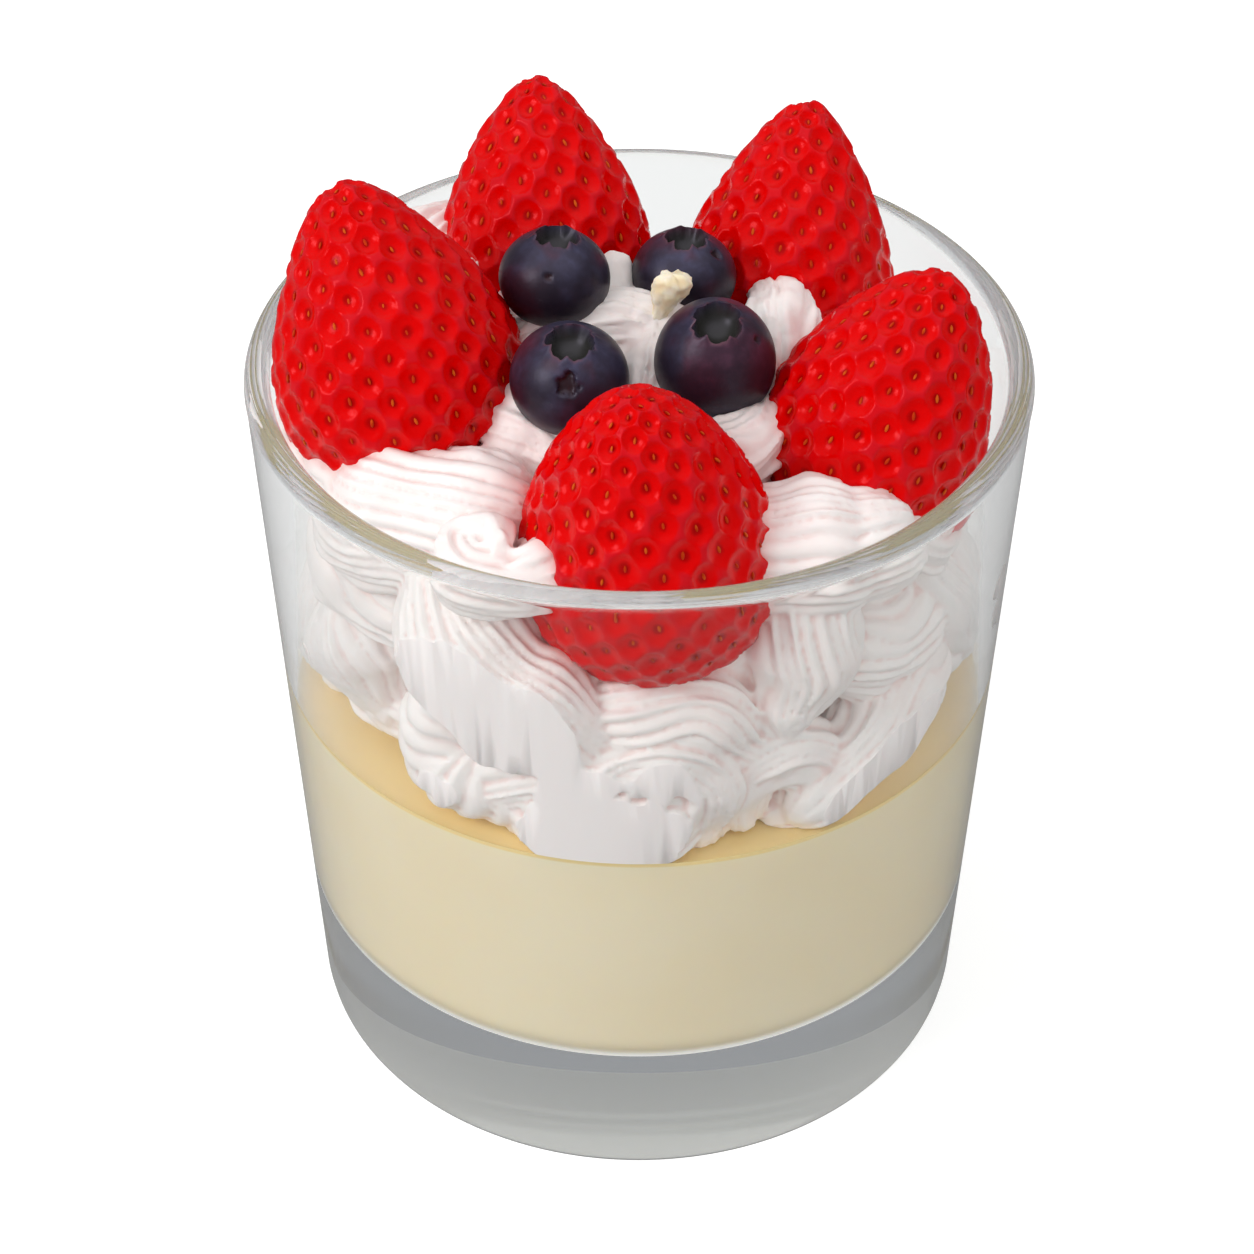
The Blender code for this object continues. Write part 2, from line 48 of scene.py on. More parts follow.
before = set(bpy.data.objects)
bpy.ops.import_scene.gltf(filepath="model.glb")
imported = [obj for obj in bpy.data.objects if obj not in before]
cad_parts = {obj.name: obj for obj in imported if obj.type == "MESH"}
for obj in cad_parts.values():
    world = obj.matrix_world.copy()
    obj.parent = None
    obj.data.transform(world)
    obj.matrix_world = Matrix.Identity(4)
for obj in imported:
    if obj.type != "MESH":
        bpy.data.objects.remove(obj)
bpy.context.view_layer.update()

MM = 0.001
GLASS_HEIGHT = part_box("glass")[1].z
RIM_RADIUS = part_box("glass")[1].x
CUSTARD_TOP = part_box("custard")[1].z
FOOT_RADIUS = 39.4 * MM
WALL = 3.0 * MM
BASE_THICKNESS = 17.5 * MM
FOOT_ROUND = 2.0 * MM
FLOOR_ROUND = 4.0 * MM
GOLDEN_TURN = math.pi * (3 - math.sqrt(5))

# The cream's core: its radius at the front, at the front's foot and elsewhere, and its heights
CREAM_CORE_FRONT = 33.0 * MM
CREAM_CORE_FOOT = 28.0 * MM
CREAM_CORE_BACK = 37.8 * MM
CREAM_CORE_TOP = 89.0 * MM
CREAM_CORE_SHOULDER = 74.0 * MM

# The cream between the berries is rougher and has less painted shade in its grooves
MIDDLE_RADIUS = 24 * MM
MIDDLE_FOOT = 80 * MM
MIDDLE_GROOVE_SHADE = 0.35
CREAM_TRIANGLES = 197000

# The cream on the glass: how far it reaches into the wall, grooves that fill, and the deepest of them
PRESS_REACH = 0.1 * MM
PRESS_SLACK = 0.42 * MM
PRESS_DEEPEST = 2.5 * MM

# Strawberries: tip, base, greatest radius, slimness towards the tip, ovalness, all lengths in mm
STRAWBERRIES = {
    "strawberry_back": ((-11.9, 28.4, 109.1), (-10.3, 16.8, 78.9), 12.3, 0.42, 0.02),
    "strawberry_back_right": ((19.5, 26.8, 106.9), (15.4, 13.3, 75.0), 12.8, 0.45, 0.02),
    "strawberry_left": ((-32.3, 0.8, 112.3), (-23.3, -7.2, 79.3), 14.0, 0.42, 0.02),
    "strawberry_right": ((32.8, -8.2, 106.5), (21.1, -12.7, 75.9), 12.6, 0.33, 0.02),
    "strawberry_front": ((-0.7, -29.6, 105.6), (1.8, -24.4, 71.0), 13.9, 0.35, 0.01),
}

# Blueberries: centre, half width, half height, tilt about X and Y in degrees, all lengths in mm
BLUEBERRIES = {
    "blueberry_back_left": ((-9.4, 3.7, 98.1), 6.2, 5.5, -6.0, 4.0),
    "blueberry_back_right": ((5.0, 7.8, 95.6), 5.9, 5.2, -4.0, 3.0),
    "blueberry_front_left": ((-7.6, -11.0, 94.9), 6.5, 6.0, 10.0, 2.0),
    "blueberry_front_right": ((8.2, -7.9, 95.0), 6.65, 7.4, 17.0, 1.0),
}

# The crown's hole: rings of faces, angle from the berry's top, teeth, and depth of its bowl
CROWN_RINGS = 18
CROWN_ANGLE = math.radians(25.0)
CROWN_LOBES = 6
BOWL_DEPTH = 1.9 * MM

# A pit's half length and half width, as shares of the distance between pits
PIT_LENGTH = 0.51
PIT_WIDTH = 0.46

# Ridges of the star nozzle: faces across one, sections that close a stroke, and the length of a swell
FACES_PER_RIDGE = 6
CLOSING_SECTIONS = 14
SWELL_LENGTH = 2.2 * MM
CREST_ROUNDNESS = 2.6
RIB_SPACING = 1.2

# Strokes whose ridges run round them instead of along them, by their place in the table
RIBBED = {1}

# Torn marks in the skin besides the crown: the way they face from the berry's centre, and radius in mm
SCARS = {
    "blueberry_front_left": ((-0.02, -0.88, 0.48), 1.5),
    "blueberry_back_right": ((0.65, -0.28, 0.71), 0.8),
    "blueberry_back_left": ((-0.12, -0.83, 0.55), 0.55),
    "blueberry_front_right": ((0.62, -0.38, 0.69), 0.45),
}

STUB_FOOT = Vector((2.6, 0.0, 94.0)) * MM
STUB_TOP = Vector((3.7, 0.3, 101.0)) * MM
STUB_RADIUS = 1.8 * MM
STUB_FOOT_SHIFT = 0.9 * MM

# Small touches of colour. The first is painted shade: the custard's top, deeper and more golden where the
# cream shades it
CUSTARD_TOP_SHADE = (0.95, 0.72, 0.34)
VANILLA_SPECK = (0.35, 0.22, 0.08)
BERRY_SPECK = (0.30, 0.12, 0.12)
SEED_GOLD = (0.62, 0.1, 0.01)
SKIN_FLECK = (0.42, 0.38, 0.42)
SCAR_BROWN = (0.022, 0.006, 0.008)
CRATER_GREEN = (0.022, 0.022, 0.018)
RIM_BROWN = (0.10, 0.035, 0.05)
WAX_PALE = (0.93, 0.87, 0.72)
WAX_SPECK = (0.05, 0.03, 0.02)

# Painted light that shows up through the thick base: a soft glow that the custard's underside emits, at its
# sides and its middle
PAINTED_GLOW_SIDES = (0.52, 0.51, 0.47)
PAINTED_GLOW_MIDDLE = (0.66, 0.65, 0.6)

# The studio's room: brightness at the level of the eye and overhead for lighting, then in reflections
ROOM_SIDES = (1.22, 1.22, 1.22)
ROOM_TOP = (0.74, 0.74, 0.74)
ROOM_TABLE = (0.9, 0.9, 0.9)
ROOM_BAND = (0.14, 0.14, 0.14)
ROOM_CEILING = (1.5, 1.5, 1.5)
FLOOR_IN_GLASS = (0.3, 0.3, 0.3)

# The lamp at the upper left, in metres and watts
LAMP_PLACE = Vector((-0.68, -0.38, 0.62))
LAMP_TARGET = Vector((0.0, 0.0, 0.06))
LAMP_SIZE = 0.35
LAMP_POWER = 3.1

# Piped strokes of cream. Each is a route of (azimuth, distance from the axis, height, rope radius)
# in degrees and mm, and the turns that its ridges make about it
STROKES = [
    # Front, seen through the glass
    ([(-131, 31, 84, 3.5), (-125, 33, 77, 7.5), (-115, 34.3, 71.5, 8.8), (-106, 34.4, 67.5, 8),
      (-99, 33.5, 63.5, 5)], 0.08),
    ([(-123, 32, 68, 4), (-127, 33.2, 63, 5.5), (-126, 33.6, 58, 6), (-118, 33.6, 56, 6),
      (-109, 33, 57, 4)], 0.0),
    ([(-124, 32, 53, 3), (-112, 33, 57.5, 6), (-98, 33.3, 62, 6.8), (-87, 33.3, 63.5, 6.8),
      (-79, 33.3, 59.5, 6.3), (-80, 33.5, 53, 4)], 0.12),
    ([(-111, 33.5, 52.5, 3.5), (-103, 34.6, 54, 7), (-95, 34.8, 55, 7.8), (-87, 34, 55.5, 6.5),
      (-80, 33, 56, 4)], 0.0),
    ([(-103, 31.5, 66, 4), (-91, 32.3, 68.5, 6), (-80, 32.5, 68, 6), (-72, 32.8, 63.5, 4.5)], 0.1),
    ([(-72, 32.5, 53, 3.5), (-71, 33, 58, 4.5), (-64, 33.3, 60.5, 4.8), (-57, 33.3, 57, 4.8),
      (-56, 33.6, 52.5, 4.5), (-61, 33.6, 51, 3.5)], 0.1),
    ([(-56, 30.5, 84, 4), (-58, 32.3, 78, 6.2), (-60, 33, 71.5, 6.2), (-64, 33.8, 66.5, 4.3),
      (-66, 34.8, 62.5, 1.4)], 0.3),
    ([(-31, 34.5, 64, 4), (-40, 35.3, 60.5, 5), (-49, 35.5, 57.5, 5), (-58, 35.5, 53.5, 4)], 0.0),
    ([(-54, 30, 69, 4), (-46, 31, 69, 6.8), (-38, 31.5, 69, 7.3), (-30, 32, 69, 6)], 0.0),
    ([(-31, 34, 77, 3.5), (-25, 34.5, 70, 5), (-21, 34.5, 63, 5), (-21, 34, 57.5, 3)], 0.15),
    ([(-20, 34.5, 77, 3), (-17, 35.3, 70.5, 4.5), (-15, 35.5, 64, 5), (-13, 34.5, 57, 3)], 0.2),
    ([(-44, 33.5, 85, 3), (-36, 34.5, 82, 4.5), (-29, 34.5, 80, 4.5), (-22, 34.5, 80, 3.5)], 0.1),
    ([(-24, 31, 57, 4), (-38, 31, 56, 5.5), (-52, 30.5, 55, 5), (-66, 30, 55, 4)], 0.1),
    ([(-160, 31, 70, 4), (-154, 32.3, 67, 6.5), (-151, 32.5, 61.5, 6.5), (-147, 31.8, 57, 3.5)], 0.1),
    ([(-176, 34.5, 68, 3.5), (-172, 35.2, 63, 5), (-170, 35.2, 57.5, 5), (-167, 34, 54, 3)], 0.15),
    ([(-168, 31, 59, 4), (-158, 31, 57, 5), (-147, 30.5, 56.5, 5), (-134, 30, 56, 4)], 0.1),
    ([(-170, 33, 78, 4), (-160, 33, 75.5, 6), (-148, 32.5, 73, 6), (-137, 31.5, 71, 4)], 0.1),
    # Front, above the rim
    ([(-162, 34, 82, 3.5), (-152, 32.5, 82, 7.5), (-139, 29.5, 82.5, 8.5), (-126, 26.5, 82.5, 8),
      (-116, 24, 81, 5)], 0.0),
    ([(-109, 29, 84, 4), (-106, 33, 85.5, 4), (-111, 36.5, 85.5, 3.6), (-119, 37.5, 86, 3.2),
      (-123, 35, 87, 2.8), (-118, 33.2, 88, 2.4), (-115, 35, 88.8, 1.5)], 0.1),
    ([(-76, 26, 82, 5), (-64, 29, 83.5, 7), (-55, 31.5, 84, 7.5), (-48, 33.5, 84, 6.5)], 0.0),
    ([(-75, 17, 84, 4), (-62, 18.5, 87, 5), (-50, 19, 89, 4.5), (-38, 18, 90, 2.5)], 0.15),
    ([(172, 36, 79, 3), (-177, 36.5, 82, 4), (-167, 37, 83.5, 4), (-157, 36, 84, 3)], 0.1),
    # Between the berries
    ([(-170, 22, 83, 4), (-158, 18, 86, 6), (-140, 15.5, 87, 6.5), (-118, 16, 86, 5)], 0.1),
    ([(-178, 17, 87, 4), (172, 11, 90, 5.5), (155, 6, 92, 5.5), (70, 2.5, 92.5, 4.5), (10, 5, 93, 3)], 0.1),
    ([(-175, 7, 88, 5), (135, 6, 92, 4.5), (108, 9, 95.5, 2.2)], 0.2),
    ([(-100, 12, 86, 4), (-80, 7, 89, 5.5), (-20, 3, 91, 5), (40, 4, 94, 2)], 0.2),
    ([(-40, 14, 86, 4), (-10, 15, 89.5, 5), (12, 16, 91, 5), (30, 18, 90, 4.5), (45, 19, 87, 3)], 0.2),
    ([(160, 20, 86, 4), (128, 17, 89, 5), (100, 15, 88, 4), (60, 14, 86, 3)], 0.2),
    ([(152, 33, 85, 4), (141, 32.5, 87.5, 6.5), (128, 31.5, 88.5, 6), (117, 30.5, 85, 3.5)], 0.1),
    ([(156, 26, 85, 4), (142, 24, 88, 6), (124, 22, 88.5, 6), (108, 20, 86, 4)], 0.15),
    # Sides and back
    ([(-12, 34, 58, 4), (-2, 34.5, 58, 6.5), (8, 34.5, 59, 7), (20, 34, 62, 4)], 0.2),
    ([(16, 34, 56, 4), (34, 34.5, 57, 7.5), (54, 34.5, 57, 7.5), (72, 34, 60, 4)], 0.25),
    ([(66, 34, 57, 4), (86, 34.5, 56, 7.5), (106, 34.5, 59, 6.5), (120, 34, 62, 4)], 0.3),
    ([(116, 34, 57, 4), (136, 34.5, 57, 7.5), (158, 34.5, 59, 7.5), (172, 34, 62, 4)], 0.2),
    ([(168, 34, 57, 4), (176, 34.5, 57, 5.5), (184, 34.5, 58, 5), (190, 33.5, 61, 3)], 0.2),
    ([(-10, 33, 68, 4), (6, 34, 72, 7), (24, 34, 74, 7), (40, 33, 71, 3)], 0.2),
    ([(44, 33, 70, 4), (62, 34, 73, 7.5), (82, 34, 74, 7), (100, 33, 72, 3)], 0.3),
    ([(96, 33, 69, 4), (114, 34, 73, 7.5), (134, 34, 75, 7.5), (154, 33, 72, 3)], 0.2),
    ([(150, 33, 68, 4), (164, 34, 73, 7), (178, 34, 75, 6.5), (190, 33, 72, 3)], 0.15),
]


def length_of(name, description, default):
    return bpy.props.FloatProperty(name=name, description=description, unit="LENGTH", default=default)


def colour_of(name, description, default):
    return bpy.props.FloatVectorProperty(
        name=name, description=description, subtype="COLOR", size=3, default=default
    )


def count_of(name, description, default):
    return bpy.props.IntProperty(name=name, description=description, default=default)


def part_of(kind, description):
    return bpy.props.PointerProperty(name=description, description=description, type=kind)


class GlassSettings(bpy.types.PropertyGroup):
    steps: count_of("Steps", "Facets round the tumbler", 192)
    arc_steps: count_of("Arc steps", "Facets in each rounding", 8)
    tint: colour_of("Tint", "Colour of the glass", (0.97, 0.985, 0.98))


class CustardSettings(bpy.types.PropertyGroup):
    reach: length_of("Reach", "How far it reaches into the wall", 0.15 * MM)
    rise: length_of("Rise", "How far it climbs the wall", 0.35 * MM)
    colour: colour_of("Colour", "Colour of the custard", (0.93, 0.815, 0.595))
    # Painted shade: a flat grey for the custard's underside, standing for the dim light seen up through the
    # base
    underside: colour_of("Underside", "Colour seen up through the base", (0.85, 0.85, 0.85))


class CreamSettings(bpy.types.PropertyGroup):
    ridge_pitch: length_of("Ridge pitch", "Distance between the ridges", 1.75 * MM)
    ridge_depth: length_of("Ridge depth", "Depth of the grooves", 1.05 * MM)
    section_pitch: length_of("Section pitch", "Distance between a stroke's sections", 0.55 * MM)
    wobble: length_of("Wobble", "Height of the soft unevenness", 0.45 * MM)
    grain: length_of("Grain", "Size of the finest form", 0.3 * MM)
    colour: colour_of("Colour", "Colour of the cream", (0.95, 0.885, 0.865))
    # Painted shade: a darker pinkish colour laid in the grooves
    groove_shade: colour_of("Hollow", "Colour in the grooves", (0.87, 0.68, 0.65))
    # Juice stain beside the strawberries, together with painted reflection of their red
    juice_and_red_reflection: colour_of("Stain", "Colour beside the strawberries", (0.83, 0.3, 0.27))
    # Painted light: the cream on the glass is a touch lighter, making up for light lost through the glass
    pressed: colour_of("Pressed", "Colour on the glass", (0.96, 0.89, 0.875))


class StrawberrySettings(bpy.types.PropertyGroup):
    segments: count_of("Segments", "Faces round a berry", 300)
    rings: count_of("Rings", "Faces from tip to base", 170)
    pit_spacing: length_of("Pit spacing", "Distance between pits", 3.7 * MM)
    pit_depth: length_of("Pit depth", "Depth of the pits", 0.68 * MM)
    lip_height: length_of("Lip height", "Height of the raised ring round a pit", 0.07 * MM)
    seed_length: length_of("Seed length", "Length of a seed", 0.9 * MM)
    colour: colour_of("Colour", "Colour in the pits", (0.70, 0.0, 0.0))
    crest: colour_of("Crest", "Colour between the pits", (0.61, 0.006, 0.012))
    # Painted shade: darker red on the pits' floors round the seeds
    centre: colour_of("Centre", "Colour round the seeds", (0.40, 0.0, 0.0))
    seed: colour_of("Seed", "Colour of the seeds", (0.5, 0.035, 0.005))


class BlueberrySettings(bpy.types.PropertyGroup):
    segments: count_of("Segments", "Faces round a berry", 120)
    skin_rings: count_of("Skin rings", "Rings below the crown", 56)
    colour: colour_of("Colour", "Colour of the skin", (0.012, 0.007, 0.014))
    bloom: colour_of("Bloom", "Colour of the waxy bloom", (0.055, 0.056, 0.115))
    purple: colour_of("Purple", "Colour of the ripe side", (0.09, 0.03, 0.06))


class StubSettings(bpy.types.PropertyGroup):
    sides: count_of("Sides", "Faces round the stub", 40)
    colour: colour_of("Colour", "Colour of the stub", (0.86, 0.72, 0.46))


class StageSettings(bpy.types.PropertyGroup):
    camera_place: bpy.props.FloatVectorProperty(
        name="Camera place", description="Where the camera stands", subtype="XYZ", unit="LENGTH", size=3,
        default=(-1.37 * MM, -319.7 * MM, 315.4 * MM),
    )
    camera_tilt: bpy.props.FloatProperty(
        name="Camera tilt", description="Turn from looking straight down", subtype="ANGLE",
        default=math.radians(50.4),
    )
    lens: bpy.props.FloatProperty(name="Lens", description="Focal length in mm", default=100.48)
    floor: colour_of("Floor", "Colour of the floor", (0.9, 0.9, 0.9))


class ParfaitSettings(bpy.types.PropertyGroup):
    glass: part_of(GlassSettings, "Glass")
    custard: part_of(CustardSettings, "Custard")
    cream: part_of(CreamSettings, "Cream")
    strawberry: part_of(StrawberrySettings, "Strawberries")
    blueberry: part_of(BlueberrySettings, "Blueberries")
    stub: part_of(StubSettings, "Stub")
    stage: part_of(StageSettings, "Camera, lights and floor")


# Shared modelling steps


def nothing_selected():
    if bpy.context.object and bpy.context.object.mode != "OBJECT":
        bpy.ops.object.mode_set(mode="OBJECT")
    bpy.ops.object.select_all(action="DESELECT")


def pick(*objects):
    """Selects only these objects, the last of them active."""
    nothing_selected()
    for obj in objects:
        obj.select_set(True)
    bpy.context.view_layer.objects.active = objects[-1]


def apply_modifier(obj, name):
    pick(obj)
    bpy.ops.object.modifier_apply(modifier=name)


def place_in_mesh(obj):
    """Moves an object's place and turn into its mesh, so that it sits at the origin."""
    pick(obj)
    bpy.ops.object.transform_apply(location=True, rotation=True, scale=True)


def add_ball(segments, rings):
    """A unit sphere with its poles on Z, which a piece is then shaped from."""
    nothing_selected()
    bpy.ops.mesh.primitive_uv_sphere_add(segments=segments, ring_count=rings, radius=1.0)
    return bpy.context.object


def stand_along(obj, foot, axis):
    """Turns a piece that was shaped along +Z to its axis and sets it on its foot."""
    obj.rotation_mode = "QUATERNION"
    obj.rotation_quaternion = axis.to_track_quat("Z", "Y")
    obj.location = foot
    place_in_mesh(obj)


def search_tree(points):
    """Finds the nearest of many points quickly."""
    tree = kdtree.KDTree(len(points))
    for i, point in enumerate(points):
        tree.insert(point, i)
    tree.balance()
    return tree


def finish_piece(obj, name, material, node=None, sharp=180.0):
    """Names, shades and colours a finished piece, and ties it to the frame."""
    pick(obj)
    obj.name = name
    obj.data.name = name
    obj.data.materials.clear()
    obj.data.materials.append(material)
    bpy.ops.object.shade_smooth_by_angle(angle=math.radians(sharp))
    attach(obj, "root")
    if node:
        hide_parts(node)
    nothing_selected()
    return obj


def outer_radius(height):
    return FOOT_RADIUS + (RIM_RADIUS - FOOT_RADIUS) * height / GLASS_HEIGHT


def inner_radius(height):
    return outer_radius(height) - WALL


FLOOR_CORNER_RADIUS = inner_radius(BASE_THICKNESS + FLOOR_ROUND) - FLOOR_ROUND


def arc(centre, radius, start, end, steps):
    """Points of an arc in the XZ plane, from one angle in degrees to another."""
    points = []
    for i in range(steps + 1):
        angle = math.radians(start + (end - start) * i / steps)
        points.append((centre[0] + radius * math.cos(angle), centre[1] + radius * math.sin(angle)))
    return points


def turn_up(outline, steps):
    """A closed turned solid: a disc that is extruded and resized from each point of its outline to the next.

    The outline's points are (radius, height). It starts and ends at the edge of a flat disc.
    """
    nothing_selected()
    radius, height = outline[0]
    bpy.ops.mesh.primitive_circle_add(
        vertices=steps, radius=radius, fill_type="NGON", location=(0, 0, height)
    )
    obj = bpy.context.object
    place_in_mesh(obj)
    bpy.ops.object.mode_set(mode="EDIT")
    bpy.ops.mesh.select_all(action="SELECT")
    for next_radius, next_height in outline[1:]:
        bpy.ops.mesh.extrude_region_move(TRANSFORM_OT_translate={"value": (0, 0, next_height - height)})
        share = next_radius / radius
        bpy.ops.transform.resize(value=(share, share, 1), center_override=(0, 0, next_height))
        radius, height = next_radius, next_height
    bpy.ops.mesh.select_all(action="SELECT")
    bpy.ops.mesh.normals_make_consistent(inside=False)
    bpy.ops.object.mode_set(mode="OBJECT")
    return obj


def ruffle(obj, name, scale, strength, group=""):
    """Pushes the surface in and out by soft noise, for good."""
    texture = bpy.data.textures.new(name, "CLOUDS")
    texture.noise_scale = scale
    pick(obj)
    push = obj.modifiers.new(name, "DISPLACE")
    push.texture = texture
    push.texture_coords = "LOCAL"
    push.strength = strength
    push.mid_level = 0.5
    push.vertex_group = group
    apply_modifier(obj, name)


def read_places(obj):
    """The places of an object's vertices, as rows of an array."""
    places = np.empty(3 * len(obj.data.vertices), np.float32)
    obj.data.vertices.foreach_get("co", places)
    return places.reshape(-1, 3).astype(float)


def write_places(obj, places):
    obj.data.vertices.foreach_set("co", places.astype(np.float32).ravel())
    obj.data.update()


def paint_attribute(obj, name, values):
    """Stores one number for each vertex, which a material can read."""
    attribute = obj.data.attributes.new(name, "FLOAT", "POINT")
    attribute.data.foreach_set("value", values)


def ease(low, high, value):
    """0 below low, 1 above high, and smooth in between."""
    share = min(1.0, max(0.0, (value - low) / (high - low)))
    return share * share * (3 - 2 * share)


# Shared material effects


def add_node(tree, kind, inputs=None, **settings):
    """Adds a node with its settings, and gives its inputs numbers or links."""
    made = tree.nodes.new(kind)
    for key, value in settings.items():
        setattr(made, key, value)
    for key, value in (inputs or {}).items():
        if isinstance(value, bpy.types.NodeSocket):
            tree.links.new(value, made.inputs[key])
        else:
            made.inputs[key].default_value = value
    return made


def mixed(tree, factor, low, high):
    """The colour between two colours or links, by a mask."""
    mix = add_node(tree, "ShaderNodeMix", {0: factor}, data_type="RGBA")
    for index, value in ((6, low), (7, high)):
        if isinstance(value, bpy.types.NodeSocket):
            tree.links.new(value, mix.inputs[index])
        else:
            mix.inputs[index].default_value = (*value[:3], 1.0)
    return mix.outputs[2]


def attribute_value(tree, name):
    return add_node(tree, "ShaderNodeAttribute", attribute_name=name).outputs["Fac"]


def ramped(tree, value, low, high):
    """A mask that rises from 0 to 1 as a value goes from low to high."""
    step = add_node(tree, "ShaderNodeMapRange", {"Value": value, "From Min": low, "From Max": high})
    step.interpolation_type = "SMOOTHSTEP"
    return step.outputs["Result"]


def combined(tree, operation, first, second):
    made = add_node(tree, "ShaderNodeMath", {0: first, 1: second}, operation=operation)
    return made.outputs["Value"]


def new_group(name, inputs, outputs):
    """An empty shader group with named sockets, and its two end nodes."""
    tree = bpy.data.node_groups.new(name, "ShaderNodeTree")
    for direction, sockets in (("INPUT", inputs), ("OUTPUT", outputs)):
        for label, kind, default in sockets:
            socket = tree.interface.new_socket(label, in_out=direction, socket_type=f"NodeSocket{kind}")
            if default is not None:
                socket.default_value = default
    return tree, tree.nodes.new("NodeGroupInput"), tree.nodes.new("NodeGroupOutput")


def add_noise(tree, vector, scale, detail):
    made = add_node(tree, "ShaderNodeTexNoise", {"Vector": vector, "Scale": scale, "Detail": detail})
    return made.outputs["Fac"]


def cloud_group(name, detail, stretch=None):
    """A cloudy mask that food, wax and bloom share: how much of the second colour shows."""
    tree, start, end = new_group(
        name,
        [("Scale", "Float", 200.0), ("Low", "Float", 0.4), ("High", "Float", 0.6)],
        [("Mask", "Float", None)],
    )
    place = add_node(tree, "ShaderNodeTexCoord").outputs["Object"]
    if stretch:
        drawn = add_node(tree, "ShaderNodeVectorMath", {0: place, 1: stretch}, operation="MULTIPLY")
        place = drawn.outputs["Vector"]
    cloud = add_noise(tree, place, start.outputs["Scale"], detail)
    mask = add_node(
        tree, "ShaderNodeMapRange",
        {"Value": cloud, "From Min": start.outputs["Low"], "From Max": start.outputs["High"]},
        interpolation_type="SMOOTHSTEP",
    )
    tree.links.new(mask.outputs["Result"], end.inputs["Mask"])


def mottle_group():
    cloud_group("mottle", 3.0)


def streak_group():
    """Long soft streaks along X."""
    cloud_group("streaks", 2.0, (0.06, 1.0, 1.0))


def speck_group():
    """Sparse round specks, as seeds' dust and vanilla make in cream."""
    tree, start, end = new_group(
        "specks",
        [("Scale", "Float", 250.0), ("Size", "Float", 0.05), ("Share", "Float", 0.9)],
        [("Mask", "Float", None)],
    )
    place = add_node(tree, "ShaderNodeTexCoord")
    cells = add_node(
        tree, "ShaderNodeTexVoronoi", {"Vector": place.outputs["Object"], "Scale": start.outputs["Scale"]}
    )
    near = combined(tree, "LESS_THAN", cells.outputs["Distance"], start.outputs["Size"])
    chance = add_node(tree, "ShaderNodeSeparateColor", {"Color": cells.outputs["Color"]})
    chosen = combined(tree, "GREATER_THAN", chance.outputs["Red"], start.outputs["Share"])
    mask = combined(tree, "MULTIPLY", near, chosen)
    tree.links.new(mask, end.inputs["Mask"])


def skin_bump_group():
    """Fine unevenness of a surface, given out as its normal."""
    tree, start, end = new_group(
        "fine bump",
        [("Scale", "Float", 900.0), ("Height", "Float", 0.02 * MM)],
        [("Normal", "Vector", None)],
    )
    place = add_node(tree, "ShaderNodeTexCoord")
    grain = add_noise(tree, place.outputs["Object"], start.outputs["Scale"], 4.0)
    bump = add_node(tree, "ShaderNodeBump", {"Height": grain, "Distance": start.outputs["Height"]})
    tree.links.new(bump.outputs["Normal"], end.inputs["Normal"])


GROUP_MAKERS = {
    "mottle": mottle_group,
    "specks": speck_group,
    "streaks": streak_group,
    "fine bump": skin_bump_group,
}


def placed(tree, group, **values):
    """One of the shared groups in a material, with its own numbers."""
    if group not in bpy.data.node_groups:
        GROUP_MAKERS[group]()
    made = tree.nodes.new("ShaderNodeGroup")
    made.node_tree = bpy.data.node_groups[group]
    for key, value in values.items():
        made.inputs[key].default_value = value
    return made.outputs[0]


def new_material(name):
    material = bpy.data.materials.new(name)
    material.use_nodes = True
    tree = material.node_tree
    return material, tree, tree.nodes["Principled BSDF"]


def set_inputs(shader, **values):
    """Sets a shader's numbers. Underscores in the names stand for spaces."""
    for key, value in values.items():
        shader.inputs[key.replace("_", " ")].default_value = value


def soft_inside(shader, weight, radius, scale):
    """Lets light spread a little under the surface."""
    set_inputs(shader, Subsurface_Weight=weight, Subsurface_Radius=radius, Subsurface_Scale=scale)


# Glass


def glass_outline(settings):
    """From the underside's edge up the outer wall, round the lip, down inside and to the floor."""
    lip = WALL / 2
    steps = settings.arc_steps
    foot_corner = (FOOT_RADIUS - FOOT_ROUND, FOOT_ROUND)
    lip_centre = (RIM_RADIUS - lip, GLASS_HEIGHT - lip)
    floor_corner = (FLOOR_CORNER_RADIUS, BASE_THICKNESS + FLOOR_ROUND)
    flat = 0.5 * MM
    low = FOOT_ROUND + flat
    high = GLASS_HEIGHT - lip - flat
    bottom = BASE_THICKNESS + FLOOR_ROUND + flat
    outline = [(FOOT_RADIUS - FOOT_ROUND - flat, 0.0)]
    outline += arc(foot_corner, FOOT_ROUND, -90, 0, steps)
    outline += [(outer_radius(low), low), (outer_radius(high), high)]
    outline += arc(lip_centre, lip, 0, 180, 2 * steps)
    outline += [(inner_radius(high), high), (inner_radius(bottom), bottom)]
    outline += arc(floor_corner, FLOOR_ROUND, 0, -90, steps)
    outline += [(floor_corner[0] - flat, BASE_THICKNESS)]
    return outline


